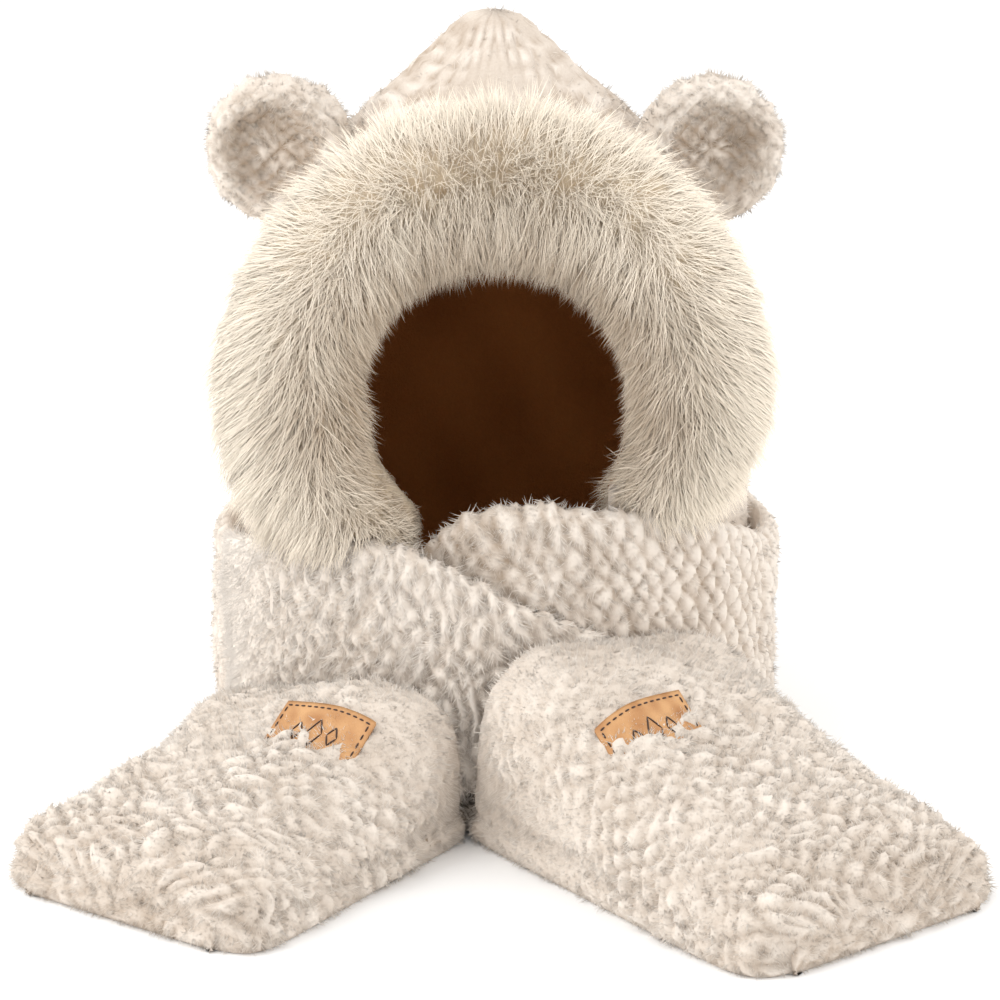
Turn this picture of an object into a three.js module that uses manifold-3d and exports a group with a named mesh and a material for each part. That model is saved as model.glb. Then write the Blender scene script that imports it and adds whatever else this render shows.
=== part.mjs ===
import * as THREE from "three";
import { mergeVertices } from "three/addons/utils/BufferGeometryUtils.js";
import Module from "manifold-3d";

const wasm = await Module();
wasm.setup();

// A plush hood with two round ears and a furry face opening, with a padded scarf
// round its neck. The scarf crosses in front and ends in two hand pockets that
// lie forward on the floor. Millimetres, +Z up, the face opening looks along -Y.
// Left is -X and right is +X, as seen by someone who looks into the opening.

// Driving dimensions
const CLEARANCE = 0.3;

const HOOD_HALF_WIDTH = 150;
const HOOD_HALF_DEPTH = 118;
const HOOD_HEIGHT = 360;
const HEM_HEIGHT = 60;
const HOOD_WALL = 8;
const LINING_THICKNESS = 2.5;

const FACE_HALF_WIDTH = 94;
const FACE_HALF_HEIGHT = 86;
const FACE_CENTRE_HEIGHT = 238;
const THROAT_HALF_WIDTH = 64;

const TRIM_HALF_WIDTH = 113;
const TRIM_HALF_HEIGHT = 110;
const TRIM_FORWARD = 100;
const TRIM_LEAN = 0.2;
const TRIM_TUCK = 26;
const TRIM_LEFT_END_TURN = 146;
const TRIM_RIGHT_END_TURN = 130;
const BACKING_RADIUS = 38;
const FUR_LENGTH = 15;
const LOCK_ROOT_RADIUS = 19;

const EAR_RADIUS = 43;
const EAR_THICKNESS = 30;
const EAR_SPREAD = 0.82 * HOOD_HALF_WIDTH;
const EAR_CENTRE_HEIGHT = HEM_HEIGHT + 0.7944 * HOOD_HEIGHT;
const EAR_BACK = 4;
const EAR_TURN = 12;

const SCARF_THICKNESS = 14;
const COLLAR_HEIGHT = 126;
const COLLAR_EASE = 0.5;

const LEFT_PAW_WIDTH = 172;
const RIGHT_PAW_WIDTH = 178;
const LEFT_PAW_LENGTH = 192;
const RIGHT_PAW_LENGTH = 238;
const LEFT_PAW_CREST = 84;
const RIGHT_PAW_CREST = 106;
const LEFT_PAW_TILT = 0.52;
const RIGHT_PAW_TILT = 0.22;
const LEFT_PAW_SPLAY = -35;
const RIGHT_PAW_SPLAY = 38;
const CROTCH_FORWARD = 60;
const CROTCH_LEFT_SHIFT = 17.5;
const CROTCH_RIGHT_SHIFT = 11.5;
const POCKET_WALL = 12;

const LABEL_LENGTH = 60;
const LABEL_WIDTH = 31;
const LABEL_THICKNESS = 1.8;

const PLUSH_COLOUR = "#e9dfd0";
const FUR_COLOUR = "#cdbea8";
const LINING_COLOUR = "#452611";
const LEATHER_COLOUR = "#b98a5c";

// Horizontal sections of the hood, from the hem up to the rear peak: "at" is a
// share of its height, "wide" of its half width, "deep" and "back" of its half depth.
const hoodSections = [
  { at: 0, wide: 1, deep: 1, back: 0 },
  { at: 0.208, wide: 0.995, deep: 1, back: 0 },
  { at: 0.333, wide: 0.985, deep: 1.01, back: 0.03 },
  { at: 0.444, wide: 0.967, deep: 1.03, back: 0.055 },
  { at: 0.556, wide: 0.94, deep: 1.02, back: 0.08 },
  { at: 0.653, wide: 0.873, deep: 0.965, back: 0.105 },
  { at: 0.728, wide: 0.767, deep: 0.88, back: 0.135 },
  { at: 0.792, wide: 0.64, deep: 0.765, back: 0.165 },
  { at: 0.844, wide: 0.513, deep: 0.63, back: 0.195 },
  { at: 0.897, wide: 0.36, deep: 0.455, back: 0.225 },
  { at: 0.942, wide: 0.24, deep: 0.31, back: 0.25 },
  { at: 0.974, wide: 0.157, deep: 0.205, back: 0.27 },
  { at: 1, wide: 0.06, deep: 0.08, back: 0.28 },
];
const HOOD_SIDES = 22;
const SMALLEST_RING = 2;
const FACE_SIDES = 24;

// How thick the scarf is across its width, with soft rolled edges.
const padding = [
  { at: 0.0, thick: 0.4 },
  { at: 0.03, thick: 0.9 },
  { at: 0.25, thick: 1.0 },
  { at: 0.5, thick: 1.0 },
  { at: 0.75, thick: 1.0 },
  { at: 0.97, thick: 0.9 },
  { at: 1.0, thick: 0.4 },
];

// Each row of a scarf end is one line across the strip, from its lower to its upper
// edge. Turns are degrees round the neck from the middle of the front, "out" counts
// scarf thicknesses off the neck, heights are shares of the collar's height, and
// "fold" bends the line along the floor before it climbs.
const underRows = [
  { lowTurn: 70, lowOut: 0, low: 0, highTurn: 70, highOut: 0, high: 1, fold: 0 },
  { lowTurn: 57, lowOut: 0, low: 0, highTurn: 57, highOut: 0, high: 1.14, fold: 0 },
  { lowTurn: 45, lowOut: 0, low: 0.02, highTurn: 45, highOut: 0, high: 1.23, fold: 0 },
  { lowTurn: 32, lowOut: 0.2, low: 0.03, highTurn: 32, highOut: 0, high: 1.3, fold: 0 },
  { lowTurn: 21, lowOut: 0.8, low: 0.05, highTurn: 20, highOut: 0.1, high: 1.345, fold: 0 },
  { lowTurn: 9, lowOut: 1.6, low: 0.06, highTurn: 8, highOut: 0.1, high: 1.38, fold: 0.2 },
  { lowTurn: 2, lowOut: 2.7, low: 0.056, highTurn: -8, highOut: 0, high: 1.3, fold: 0.6 },
  { lowTurn: -2, lowOut: 3.4, low: 0.056, highTurn: -24, highOut: 0, high: 0.9, fold: 0.9 },
  { lowTurn: -4, lowOut: 3.95, low: 0.056, highTurn: -38, highOut: 0, high: 0.5, fold: 1 },
  { lowTurn: -4.6, lowOut: 4.3, low: 0.056, highTurn: -50, highOut: 0, high: 0.2, fold: 1 },
];
const overRows = [
  { lowTurn: -70, lowOut: 0, low: 0, highTurn: -70, highOut: 0, high: 1, fold: 0 },
  { lowTurn: -60, lowOut: 0.6, low: 0.13, highTurn: -58, highOut: 0.8, high: 1.09, fold: 0 },
  { lowTurn: -48, lowOut: 1.2, low: 0.2, highTurn: -48, highOut: 1.2, high: 1.16, fold: 0 },
  { lowTurn: -37, lowOut: 1.5, low: 0.22, highTurn: -37, highOut: 1.3, high: 1.2, fold: 0 },
  { lowTurn: -27, lowOut: 2, low: 0.22, highTurn: -26, highOut: 1.3, high: 1.23, fold: 0 },
  { lowTurn: -18, lowOut: 2.66, low: 0.21, highTurn: -18, highOut: 1.3, high: 1.22, fold: 0 },
  { lowTurn: -11, lowOut: 3.2, low: 0.2, highTurn: -9.6, highOut: 1.3, high: 1.14, fold: 0 },
  { lowTurn: -5.5, lowOut: 3.6, low: 0.19, highTurn: -2.6, highOut: 1.3, high: 1.055, fold: 0 },
  { lowTurn: -1.5, lowOut: 3.9, low: 0.16, highTurn: 4.5, highOut: 1.3, high: 0.96, fold: 0.1 },
  { lowTurn: -2.2, lowOut: 4.1, low: 0.12, highTurn: 11.6, highOut: 1.25, high: 0.88, fold: 0.2 },
  { lowTurn: -2.7, lowOut: 4.35, low: 0.08, highTurn: 19, highOut: 1.2, high: 0.8, fold: 0.3 },
  { lowTurn: -3, lowOut: 4.5, low: 0.06, highTurn: 27, highOut: 1.2, high: 0.7, fold: 0.4 },
  { lowTurn: -3.1, lowOut: 4.6, low: 0.056, highTurn: 36, highOut: 1.25, high: 0.5, fold: 0.5 },
  { lowTurn: -3.1, lowOut: 4.65, low: 0.056, highTurn: 45, highOut: 1.4, high: 0.25, fold: 0.6 },
];
const STEPS_PER_ROW = 2;

// The neck length of the scarf, from the right seam round the back to the left one.
const neckRows = [
  { turn: 70, high: 1.0 },
  { turn: 110, high: 0.97 },
  { turn: 145, high: 0.88 },
  { turn: 180, high: 0.83 },
  { turn: 215, high: 0.88 },
  { turn: 250, high: 0.97 },
  { turn: 290, high: 1.0 },
];
const NECK_STEPS = 26;

// The outline of a paw from its mouth to its tip: "wide" is a share of its half
// width, "thin" of the scarf's thickness, and the crests are shares of its height.
const pawRows = [
  { at: 0, wide: 0.97, thin: 1, leftCrest: 0.93, rightCrest: 0.93 },
  { at: 0.04, wide: 0.99, thin: 1, leftCrest: 0.99, rightCrest: 0.99 },
  { at: 0.12, wide: 1, thin: 1, leftCrest: 1, rightCrest: 1 },
  { at: 0.25, wide: 1, thin: 1, leftCrest: 0.88, rightCrest: 0.9 },
  { at: 0.4, wide: 1, thin: 1, leftCrest: 0.74, rightCrest: 0.74 },
  { at: 0.58, wide: 1, thin: 1, leftCrest: 0.62, rightCrest: 0.58 },
  { at: 0.75, wide: 1, thin: 1, leftCrest: 0.54, rightCrest: 0.46 },
  { at: 0.88, wide: 0.99, thin: 1, leftCrest: 0.49, rightCrest: 0.39 },
  { at: 0.95, wide: 0.94, thin: 0.95, leftCrest: 0.45, rightCrest: 0.355 },
  { at: 0.985, wide: 0.85, thin: 0.8, leftCrest: 0.39, rightCrest: 0.31 },
  { at: 1, wide: 0.7, thin: 0.5, leftCrest: 0.29, rightCrest: 0.23 },
];
const DOME_POWER = 4;
const DOME_STEPS = 10;
const TILT_PIVOT = 0.36;
const POCKET_RIM = SCARF_THICKNESS + CLEARANCE;

// The locks of the fur roll: degrees round its section, from straight out of the face
// opening and over the front, at a lock's root and at its tip, and its share of the
// fur's length. They part along the front of the roll.
const lockRows = [
  { root: -20, tip: -38, length: 0.8 },
  { root: 22, tip: 4, length: 1.0 },
  { root: 62, tip: 44, length: 0.8 },
  { root: 98, tip: 116, length: 0.8 },
  { root: 140, tip: 158, length: 1.0 },
];
const LOCKS_PER_ROW = 14;
const LOCK_SIDES = 4;
const LOCK_SWAY = 0.16;
const LOCK_PHASE = 2.3;
const LOCK_ROW_PHASE = 1.7;
const BACKING_STEPS = 22;
const BACKING_SIDES = 12;
const END_TAPER = 0.3;
const END_TAPER_POWER = 6;

// The ear's half section, from the middle of the front over the rim to the middle of
// the back: "out" is a share of its radius, "front" of half its thickness.
const earProfile = [
  { out: 0.0, front: 0.1 },
  { out: 0.35, front: 0.14 },
  { out: 0.55, front: 0.45 },
  { out: 0.72, front: 0.9 },
  { out: 0.86, front: 0.92 },
  { out: 0.96, front: 0.55 },
  { out: 1.0, front: 0.0 },
  { out: 0.95, front: -0.5 },
  { out: 0.8, front: -0.85 },
  { out: 0.5, front: -1.0 },
  { out: 0.0, front: -1.0 },
];
const EAR_SIDES = 16;

const labelPlaces = {
  left: { along: 0.33, across: -0.38 },
  right: { along: 0.395, across: -0.44 },
};
const LABEL_STEPS_LONG = 6;
const LABEL_STEPS_SHORT = 4;

const radians = THREE.MathUtils.degToRad;

// Helpers that turn rings of points into closed solids
function signedVolume(positions, index) {
  const a = new THREE.Vector3();
  const b = new THREE.Vector3();
  const c = new THREE.Vector3();
  let total = 0;
  for (let k = 0; k < index.length; k += 3) {
    a.fromArray(positions, 3 * index[k]);
    b.fromArray(positions, 3 * index[k + 1]);
    c.fromArray(positions, 3 * index[k + 2]);
    total += a.dot(b.cross(c)) / 6;
  }
  return total;
}

function solidFrom(positions, index) {
  const turned = signedVolume(positions, index) < 0;
  const triangles = turned ? index.slice().reverse() : index;
  const mesh = new wasm.Mesh({
    numProp: 3,
    vertProperties: new Float32Array(positions),
    triVerts: new Uint32Array(triangles),
  });
  return new wasm.Manifold(mesh);
}

// Rings of an even number of points, skinned one to the next. Each end is closed by
// strips that join opposite points of its ring.
function skin(rings) {
  const count = rings[0].length;
  const positions = rings.flat().flatMap((point) => [point.x, point.y, point.z]);
  const index = [];
  for (let i = 0; i + 1 < rings.length; i += 1) {
    for (let j = 0; j < count; j += 1) {
      const a = i * count + j;
      const b = i * count + ((j + 1) % count);
      index.push(a, b, b + count, a, b + count, a + count);
    }
  }
  const end = (rings.length - 1) * count;
  for (let j = 0; j < count / 2 - 1; j += 1) {
    const near = j;
    const far = count - 1 - j;
    index.push(near, far - 1, near + 1, near, far, far - 1);
    index.push(end + near, end + near + 1, end + far - 1, end + near, end + far - 1, end + far);
  }
  return solidFrom(positions, index);
}

function solidOf(geometry) {
  const bare = geometry.clone();
  bare.deleteAttribute("normal");
  bare.deleteAttribute("uv");
  const merged = mergeVertices(bare);
  return solidFrom(Array.from(merged.attributes.position.array), Array.from(merged.index.array));
}

function geometryOf(solid) {
  const mesh = solid.getMesh();
  const geometry = new THREE.BufferGeometry();
  geometry.setAttribute("position", new THREE.BufferAttribute(mesh.vertProperties.slice(), 3));
  geometry.setIndex(new THREE.BufferAttribute(mesh.triVerts.slice(), 1));
  return geometry;
}

// The biggest body of a cut solid, without the crumbs that a cut leaves.
function mainBody(solid) {
  const bodies = solid.decompose();
  return bodies.reduce((best, body) => (body.volume() > best.volume() ? body : best));
}

function tableValue(rows, column, at) {
  const next = rows.findIndex((row) => row.at > at);
  if (next <= 0) {
    return next === 0 ? rows[0][column] : rows[rows.length - 1][column];
  }
  const before = rows[next - 1];
  const after = rows[next];
  return THREE.MathUtils.mapLinear(at, before.at, after.at, before[column], after[column]);
}

// The hood and its lining
function hoodForm(grow) {
  const rings = hoodSections
    .filter((row) => row.wide * HOOD_HALF_WIDTH + grow > SMALLEST_RING)
    .map((row) => {
      const halfWidth = row.wide * HOOD_HALF_WIDTH + grow;
      const halfDepth = Math.max(row.deep * HOOD_HALF_DEPTH + grow, SMALLEST_RING);
      const height = HEM_HEIGHT + row.at * (HOOD_HEIGHT + grow);
      const ring = [];
      for (let j = 0; j < HOOD_SIDES; j += 1) {
        const turn = (2 * Math.PI * (j + 0.5)) / HOOD_SIDES;
        const y = row.back * HOOD_HALF_DEPTH - halfDepth * Math.cos(turn);
        ring.push(new THREE.Vector3(halfWidth * Math.sin(turn), y, height));
      }
      return ring;
    });
  return skin(rings);
}

// The same form with a skirt below the hem, to cut with.
function hoodCore(grow) {
  const skirt = new THREE.Shape();
  skirt.absellipse(0, 0, HOOD_HALF_WIDTH + grow, HOOD_HALF_DEPTH + grow, 0, 2 * Math.PI);
  const depth = HEM_HEIGHT;
  const plug = new THREE.ExtrudeGeometry(skirt, { depth, bevelEnabled: false, curveSegments: HOOD_SIDES });
  return hoodForm(grow).add(solidOf(plug));
}

// The face opening and the throat slot below it, as a plug that points forward.
function faceOpening(grow) {
  const halfWidth = FACE_HALF_WIDTH + grow;
  const halfHeight = FACE_HALF_HEIGHT + grow;
  const throat = THROAT_HALF_WIDTH + grow;
  const start = -Math.acos(throat / halfWidth);
  const outline = new THREE.Shape();
  outline.moveTo(-throat, 0);
  outline.lineTo(throat, 0);
  outline.absellipse(0, FACE_CENTRE_HEIGHT, halfWidth, halfHeight, start, Math.PI - start);
  outline.closePath();
  const depth = 2 * HOOD_HALF_DEPTH;
  const plug = new THREE.ExtrudeGeometry(outline, { depth, bevelEnabled: false, curveSegments: FACE_SIDES });
  plug.rotateX(Math.PI / 2);
  return solidOf(plug);
}

function hoodShell() {
  return mainBody(hoodForm(0).subtract(hoodCore(-HOOD_WALL)).subtract(faceOpening(0)));
}

function hoodLining() {
  const outside = -HOOD_WALL - CLEARANCE;
  const inside = outside - LINING_THICKNESS;
  return mainBody(hoodForm(outside).subtract(hoodCore(inside)).subtract(faceOpening(0)));
}

// The hood's wall and lining with room round them, to seat the fur trim on.
function hoodWallRoom() {
  const inside = -HOOD_WALL - LINING_THICKNESS - 2 * CLEARANCE;
  return hoodForm(CLEARANCE).subtract(hoodCore(inside)).subtract(faceOpening(-CLEARANCE));
}

// Points of the fur roll: "turn" runs round the face opening from its top, "around"
// runs round the roll's section, from straight outward over the front.
const TRIM_START = -radians(TRIM_LEFT_END_TURN);
const TRIM_END = radians(TRIM_RIGHT_END_TURN);

function trimFrame(turn) {
  const x = TRIM_HALF_WIDTH * Math.sin(turn);
  const rise = TRIM_HALF_HEIGHT * Math.cos(turn);
  const tuck = TRIM_TUCK * Math.min(Math.cos(turn), 0) ** 2;
  const y = TRIM_LEAN * rise - TRIM_FORWARD + tuck;
  const outward = new THREE.Vector3(Math.sin(turn), TRIM_LEAN * Math.cos(turn), Math.cos(turn));
  const forward = new THREE.Vector3(0, -1, TRIM_LEAN).normalize();
  const fromMiddle = (2 * turn - TRIM_START - TRIM_END) / (TRIM_END - TRIM_START);
  return {
    centre: new THREE.Vector3(x, y, FACE_CENTRE_HEIGHT + rise),
    outward: outward.normalize(),
    forward,
    fullness: 1 - END_TAPER * Math.abs(fromMiddle) ** END_TAPER_POWER,
  };
}

function trimPoint(turn, around, reach) {
  const frame = trimFrame(turn);
  return frame.centre
    .addScaledVector(frame.outward, frame.fullness * reach * Math.cos(around))
    .addScaledVector(frame.forward, frame.fullness * reach * Math.sin(around));
}

function trimBacking() {
  const rings = [];
  for (let i = 0; i <= BACKING_STEPS; i += 1) {
    const turn = THREE.MathUtils.lerp(TRIM_START, TRIM_END, i / BACKING_STEPS);
    const ring = [];
    for (let j = 0; j < BACKING_SIDES; j += 1) {
      ring.push(trimPoint(turn, (2 * Math.PI * j) / BACKING_SIDES, BACKING_RADIUS));
    }
    rings.push(ring);
  }
  return skin(rings);
}

function furLock(root, tip) {
  const cone = new THREE.ConeGeometry(LOCK_ROOT_RADIUS, root.distanceTo(tip), LOCK_SIDES);
  const up = new THREE.Vector3(0, 1, 0);
  cone.applyQuaternion(new THREE.Quaternion().setFromUnitVectors(up, tip.clone().sub(root).normalize()));
  const middle = root.clone().lerp(tip, 0.5);
  cone.translate(middle.x, middle.y, middle.z);
  return solidOf(cone);
}

function furTrim(neighbours) {
  const bodies = [trimBacking()];
  lockRows.forEach((row, rowIndex) => {
    for (let k = 0; k < LOCKS_PER_ROW; k += 1) {
      const step = (k + 0.5 + 0.5 * (rowIndex % 2)) / (LOCKS_PER_ROW + 0.5);
      const turn = THREE.MathUtils.lerp(TRIM_START, TRIM_END, step);
      const phase = LOCK_PHASE * k + LOCK_ROW_PHASE * rowIndex;
      const sway = LOCK_SWAY * Math.sin(phase);
      const length = FUR_LENGTH * row.length * (1 + LOCK_SWAY * Math.cos(phase));
      const root = trimPoint(turn, radians(row.root), BACKING_RADIUS - LOCK_ROOT_RADIUS / 2);
      const tip = trimPoint(turn + sway, radians(row.tip), BACKING_RADIUS + length);
      bodies.push(furLock(root, tip));
    }
  });
  let trim = wasm.Manifold.union(bodies).subtract(hoodWallRoom());
  neighbours.forEach((neighbour) => {
    trim = trim.subtract(neighbour);
  });
  return mainBody(trim);
}

function ear(side) {
  const profile = earProfile.map(
    (row) => new THREE.Vector2(row.out * EAR_RADIUS, (row.front * EAR_THICKNESS) / 2),
  );
  const disc = new THREE.LatheGeometry(profile.reverse(), EAR_SIDES);
  disc.rotateX(Math.PI);
  disc.rotateZ(side * radians(EAR_TURN));
  disc.translate(side * EAR_SPREAD, EAR_BACK, EAR_CENTRE_HEIGHT);
  return mainBody(solidOf(disc).subtract(hoodForm(CLEARANCE)));
}

// The scarf strip
function collarPoint(turnDegrees, out, height) {
  const turn = radians(turnDegrees);
  const reach = (0.5 + out) * SCARF_THICKNESS + (1 + out) * CLEARANCE + COLLAR_EASE;
  const x = (HOOD_HALF_WIDTH + reach) * Math.sin(turn);
  const y = -(HOOD_HALF_DEPTH + reach) * Math.cos(turn);
  return new THREE.Vector3(x, y, height);
}

// A line across the strip: a soft curve from its lower to its upper edge.
function stripLine(low, high, fold) {
  const middle = low.clone().lerp(high, 0.5);
  const foot = new THREE.Vector3(high.x, high.y, low.z);
  const curve = new THREE.QuadraticBezierCurve3(low, middle.lerp(foot, fold), high);
  return padding.map((row) => curve.getPoint(row.at));
}

// A grid of points made into padded cloth, with soft edges and a flat underside where
// it lies on the floor.
function paddedStrip(grid, thinning, grow) {
  const lastRow = grid.length - 1;
  const lastColumn = grid[0].length - 1;
  const rings = grid.map((line, i) => {
    const before = grid[Math.max(i - 1, 0)];
    const after = grid[Math.min(i + 1, lastRow)];
    const outer = [];
    const inner = [];
    line.forEach((point, j) => {
      const along = after[j].clone().sub(before[j]);
      const across = line[Math.min(j + 1, lastColumn)].clone().sub(line[Math.max(j - 1, 0)]);
      const normal = along.cross(across).normalize();
      const half = (SCARF_THICKNESS / 2) * padding[j].thick * thinning[i] + grow;
      outer.push(point.clone().addScaledVector(normal, half));
      inner.push(point.clone().addScaledVector(normal, -half));
    });
    const ring = [...outer, ...inner.reverse()];
    ring.forEach((point) => {
      point.z = Math.max(point.z, 0);
    });
    return ring;
  });
  return skin(rings);
}

function widened(line, grow) {
  const last = line.length - 1;
  const across = line[last].clone().sub(line[0]).normalize();
  const copy = line.map((point) => point.clone());
  copy[0].addScaledVector(across, -grow);
  copy[last].addScaledVector(across, grow);
  return copy;
}

// A paw lies forward of the neck: its frame has the corner at the crotch, the way
// along it and the way across it, away from the other paw.
function pawFrame(side) {
  const right = side > 0;
  const splay = radians(right ? RIGHT_PAW_SPLAY : LEFT_PAW_SPLAY);
  const shift = right ? -CROTCH_RIGHT_SHIFT : -CROTCH_LEFT_SHIFT;
  const front = HOOD_HALF_DEPTH + CROTCH_FORWARD + SCARF_THICKNESS;
  return {
    corner: new THREE.Vector3(shift, -front, 0),
    along: new THREE.Vector3(Math.sin(splay), -Math.cos(splay), 0),
    across: new THREE.Vector3(side * Math.cos(splay), side * Math.sin(splay), 0),
    length: right ? RIGHT_PAW_LENGTH : LEFT_PAW_LENGTH,
    halfWidth: (right ? RIGHT_PAW_WIDTH : LEFT_PAW_WIDTH) / 2,
    crest: right ? RIGHT_PAW_CREST : LEFT_PAW_CREST,
    crestColumn: right ? "rightCrest" : "leftCrest",
    tilt: right ? RIGHT_PAW_TILT : LEFT_PAW_TILT,
  };
}

function pawPoint(frame, alongMm, acrossMm, height) {
  return frame.corner
    .clone()
    .addScaledVector(frame.along, alongMm)
    .addScaledVector(frame.across, frame.halfWidth + acrossMm)
    .setZ(height);
}

// One scarf end: a seam at the neck, a stretch round the front and the paw's floor.
function scarfEnd(rows, side, grow) {
  const lows = rows.map((row) => collarPoint(row.lowTurn, row.lowOut, row.low * COLLAR_HEIGHT));
  const highs = rows.map((row) => collarPoint(row.highTurn, row.highOut, row.high * COLLAR_HEIGHT));
  const folds = rows.map((row) => row.fold);
  lows[0].y -= 2 * CLEARANCE - grow;
  highs[0].y -= 2 * CLEARANCE - grow;
  const frame = pawFrame(side);
  const floor = SCARF_THICKNESS / 2;
  lows.push(pawPoint(frame, 0, -pawRows[0].wide * frame.halfWidth, floor));
  highs.push(pawPoint(frame, 0, pawRows[0].wide * frame.halfWidth, floor));
  folds.push(1);
  const lowEdge = new THREE.CatmullRomCurve3(lows);
  const highEdge = new THREE.CatmullRomCurve3(highs);
  const steps = STEPS_PER_ROW * (lows.length - 1);
  const grid = [];
  const thinning = [];
  for (let i = 0; i <= steps; i += 1) {
    const row = Math.min(Math.floor(i / STEPS_PER_ROW), folds.length - 2);
    const fold = THREE.MathUtils.lerp(folds[row], folds[row + 1], i / STEPS_PER_ROW - row);
    grid.push(stripLine(lowEdge.getPoint(i / steps), highEdge.getPoint(i / steps), fold));
    thinning.push(1);
  }
  pawRows.slice(1).forEach((row) => {
    const half = row.wide * frame.halfWidth;
    const low = pawPoint(frame, row.at * frame.length, -half, floor);
    const high = pawPoint(frame, row.at * frame.length, half, floor);
    grid.push(stripLine(low, high, 0));
    thinning.push(row.thin);
  });
  return paddedStrip(grid.map((line) => widened(line, grow)), thinning, grow);
}

function scarfNeck(grow) {
  const rows = neckRows.map((row) => ({ at: row.turn, high: row.high }));
  const start = rows[0].at;
  const end = rows[rows.length - 1].at;
  const grid = [];
  for (let i = 0; i <= NECK_STEPS; i += 1) {
    const turn = THREE.MathUtils.lerp(start, end, i / NECK_STEPS);
    const low = collarPoint(turn, 0, 0);
    const high = collarPoint(turn, 0, tableValue(rows, "high", turn) * COLLAR_HEIGHT);
    grid.push(widened(stripLine(low, high, 0), grow));
  }
  return paddedStrip(grid, grid.map(() => 1), grow);
}

// The hand pockets: domes that lie on the scarf's ends, open at the mouth and below
function domeShare(across) {
  return (1 - Math.min(Math.abs(across), 1) ** DOME_POWER) ** (1 / DOME_POWER);
}

function domeHeight(frame, at, across, inset) {
  const tilt = 1 + frame.tilt * (1 - at) * (TILT_PIVOT - (1 + across) / 2);
  const crest = frame.crest * tableValue(pawRows, frame.crestColumn, at) * tilt - inset;
  return POCKET_RIM + Math.max(crest - POCKET_RIM, inset / 4) * domeShare(across);
}

function pocketForm(side, inset, below, mouth) {
  const frame = pawFrame(side);
  const rings = pawRows.map((row, i) => {
    const half = row.wide * frame.halfWidth - inset;
    const alongMm = i === 0 ? -mouth : row.at * (frame.length - inset);
    const top = [];
    const bottom = [];
    for (let j = 0; j <= DOME_STEPS; j += 1) {
      const turn = Math.cos((Math.PI * j) / DOME_STEPS);
      const across = -Math.sign(turn) * Math.abs(turn) ** (2 / DOME_POWER);
      top.push(pawPoint(frame, alongMm, half * across, domeHeight(frame, row.at, across, inset)));
      bottom.push(pawPoint(frame, alongMm, half * across, POCKET_RIM - below));
    }
    return [...top, ...bottom.reverse()];
  });
  return skin(rings);
}

function pocket(side, neighbours) {
  const inside = pocketForm(side, POCKET_WALL, POCKET_WALL, POCKET_WALL);
  let shell = pocketForm(side, 0, 0, 0).subtract(inside);
  neighbours.forEach((neighbour) => {
    shell = shell.subtract(neighbour);
  });
  return mainBody(shell);
}

// A leather label that follows the top of its pocket.
function label(side) {
  const frame = pawFrame(side);
  const spot = side > 0 ? labelPlaces.right : labelPlaces.left;
  const rings = [];
  for (let i = 0; i <= LABEL_STEPS_SHORT; i += 1) {
    const alongMm = spot.along * frame.length + LABEL_WIDTH * (i / LABEL_STEPS_SHORT - 0.5);
    const top = [];
    const bottom = [];
    for (let j = 0; j <= LABEL_STEPS_LONG; j += 1) {
      const acrossMm = spot.across * frame.halfWidth + LABEL_LENGTH * (j / LABEL_STEPS_LONG - 0.5);
      const height = domeHeight(frame, alongMm / frame.length, acrossMm / frame.halfWidth, 0);
      top.push(pawPoint(frame, alongMm, acrossMm, height + CLEARANCE + LABEL_THICKNESS));
      bottom.push(pawPoint(frame, alongMm, acrossMm, height - LABEL_THICKNESS));
    }
    rings.push([...top, ...bottom.reverse()]);
  }
  const seat = pocketForm(side, 0, 0, 0).translate(0, 0, CLEARANCE);
  return mainBody(skin(rings).subtract(seat));
}

// The assembly
function plush(colour, roughness = 1) {
  return new THREE.MeshStandardMaterial({ color: colour, roughness, metalness: 0 });
}

const scarf = new THREE.Group();
const model = new THREE.Group();
model.add(scarf);

function place(parent, name, solid, material) {
  const mesh = new THREE.Mesh(geometryOf(solid), material);
  mesh.name = name;
  parent.add(mesh);
}

const over = scarfEnd(overRows, 1, 0);
const overRoom = scarfEnd(overRows, 1, CLEARANCE).add(over);
const under = mainBody(scarfEnd(underRows, -1, 0).subtract(overRoom));
const underRoom = scarfEnd(underRows, -1, CLEARANCE).add(under);
const neck = mainBody(scarfNeck(0).subtract(overRoom).subtract(underRoom));
const neckRoom = scarfNeck(CLEARANCE);

place(model, "hood_shell", hoodShell(), plush(PLUSH_COLOUR));
place(model, "hood_lining", hoodLining(), plush(LINING_COLOUR));
place(model, "fur_trim", furTrim([overRoom, underRoom, neckRoom]), plush(FUR_COLOUR));
place(model, "ear_left", ear(-1), plush(PLUSH_COLOUR));
place(model, "ear_right", ear(1), plush(PLUSH_COLOUR));
place(scarf, "scarf_neck", neck, plush(PLUSH_COLOUR));
place(scarf, "scarf_over", over, plush(PLUSH_COLOUR));
place(scarf, "scarf_under", under, plush(PLUSH_COLOUR));
place(scarf, "pocket_left", pocket(-1, [overRoom, underRoom]), plush(PLUSH_COLOUR));
place(scarf, "pocket_right", pocket(1, [overRoom, underRoom]), plush(PLUSH_COLOUR));
place(scarf, "label_left", label(-1), plush(LEATHER_COLOUR, 0.7));
place(scarf, "label_right", label(1), plush(LEATHER_COLOUR, 0.7));

// The origin is under the middle of the whole, on the floor.
const box = new THREE.Box3().setFromObject(model);
const middle = box.getCenter(new THREE.Vector3());
model.position.set(-middle.x, -middle.y, -box.min.z);

export default model;
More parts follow.
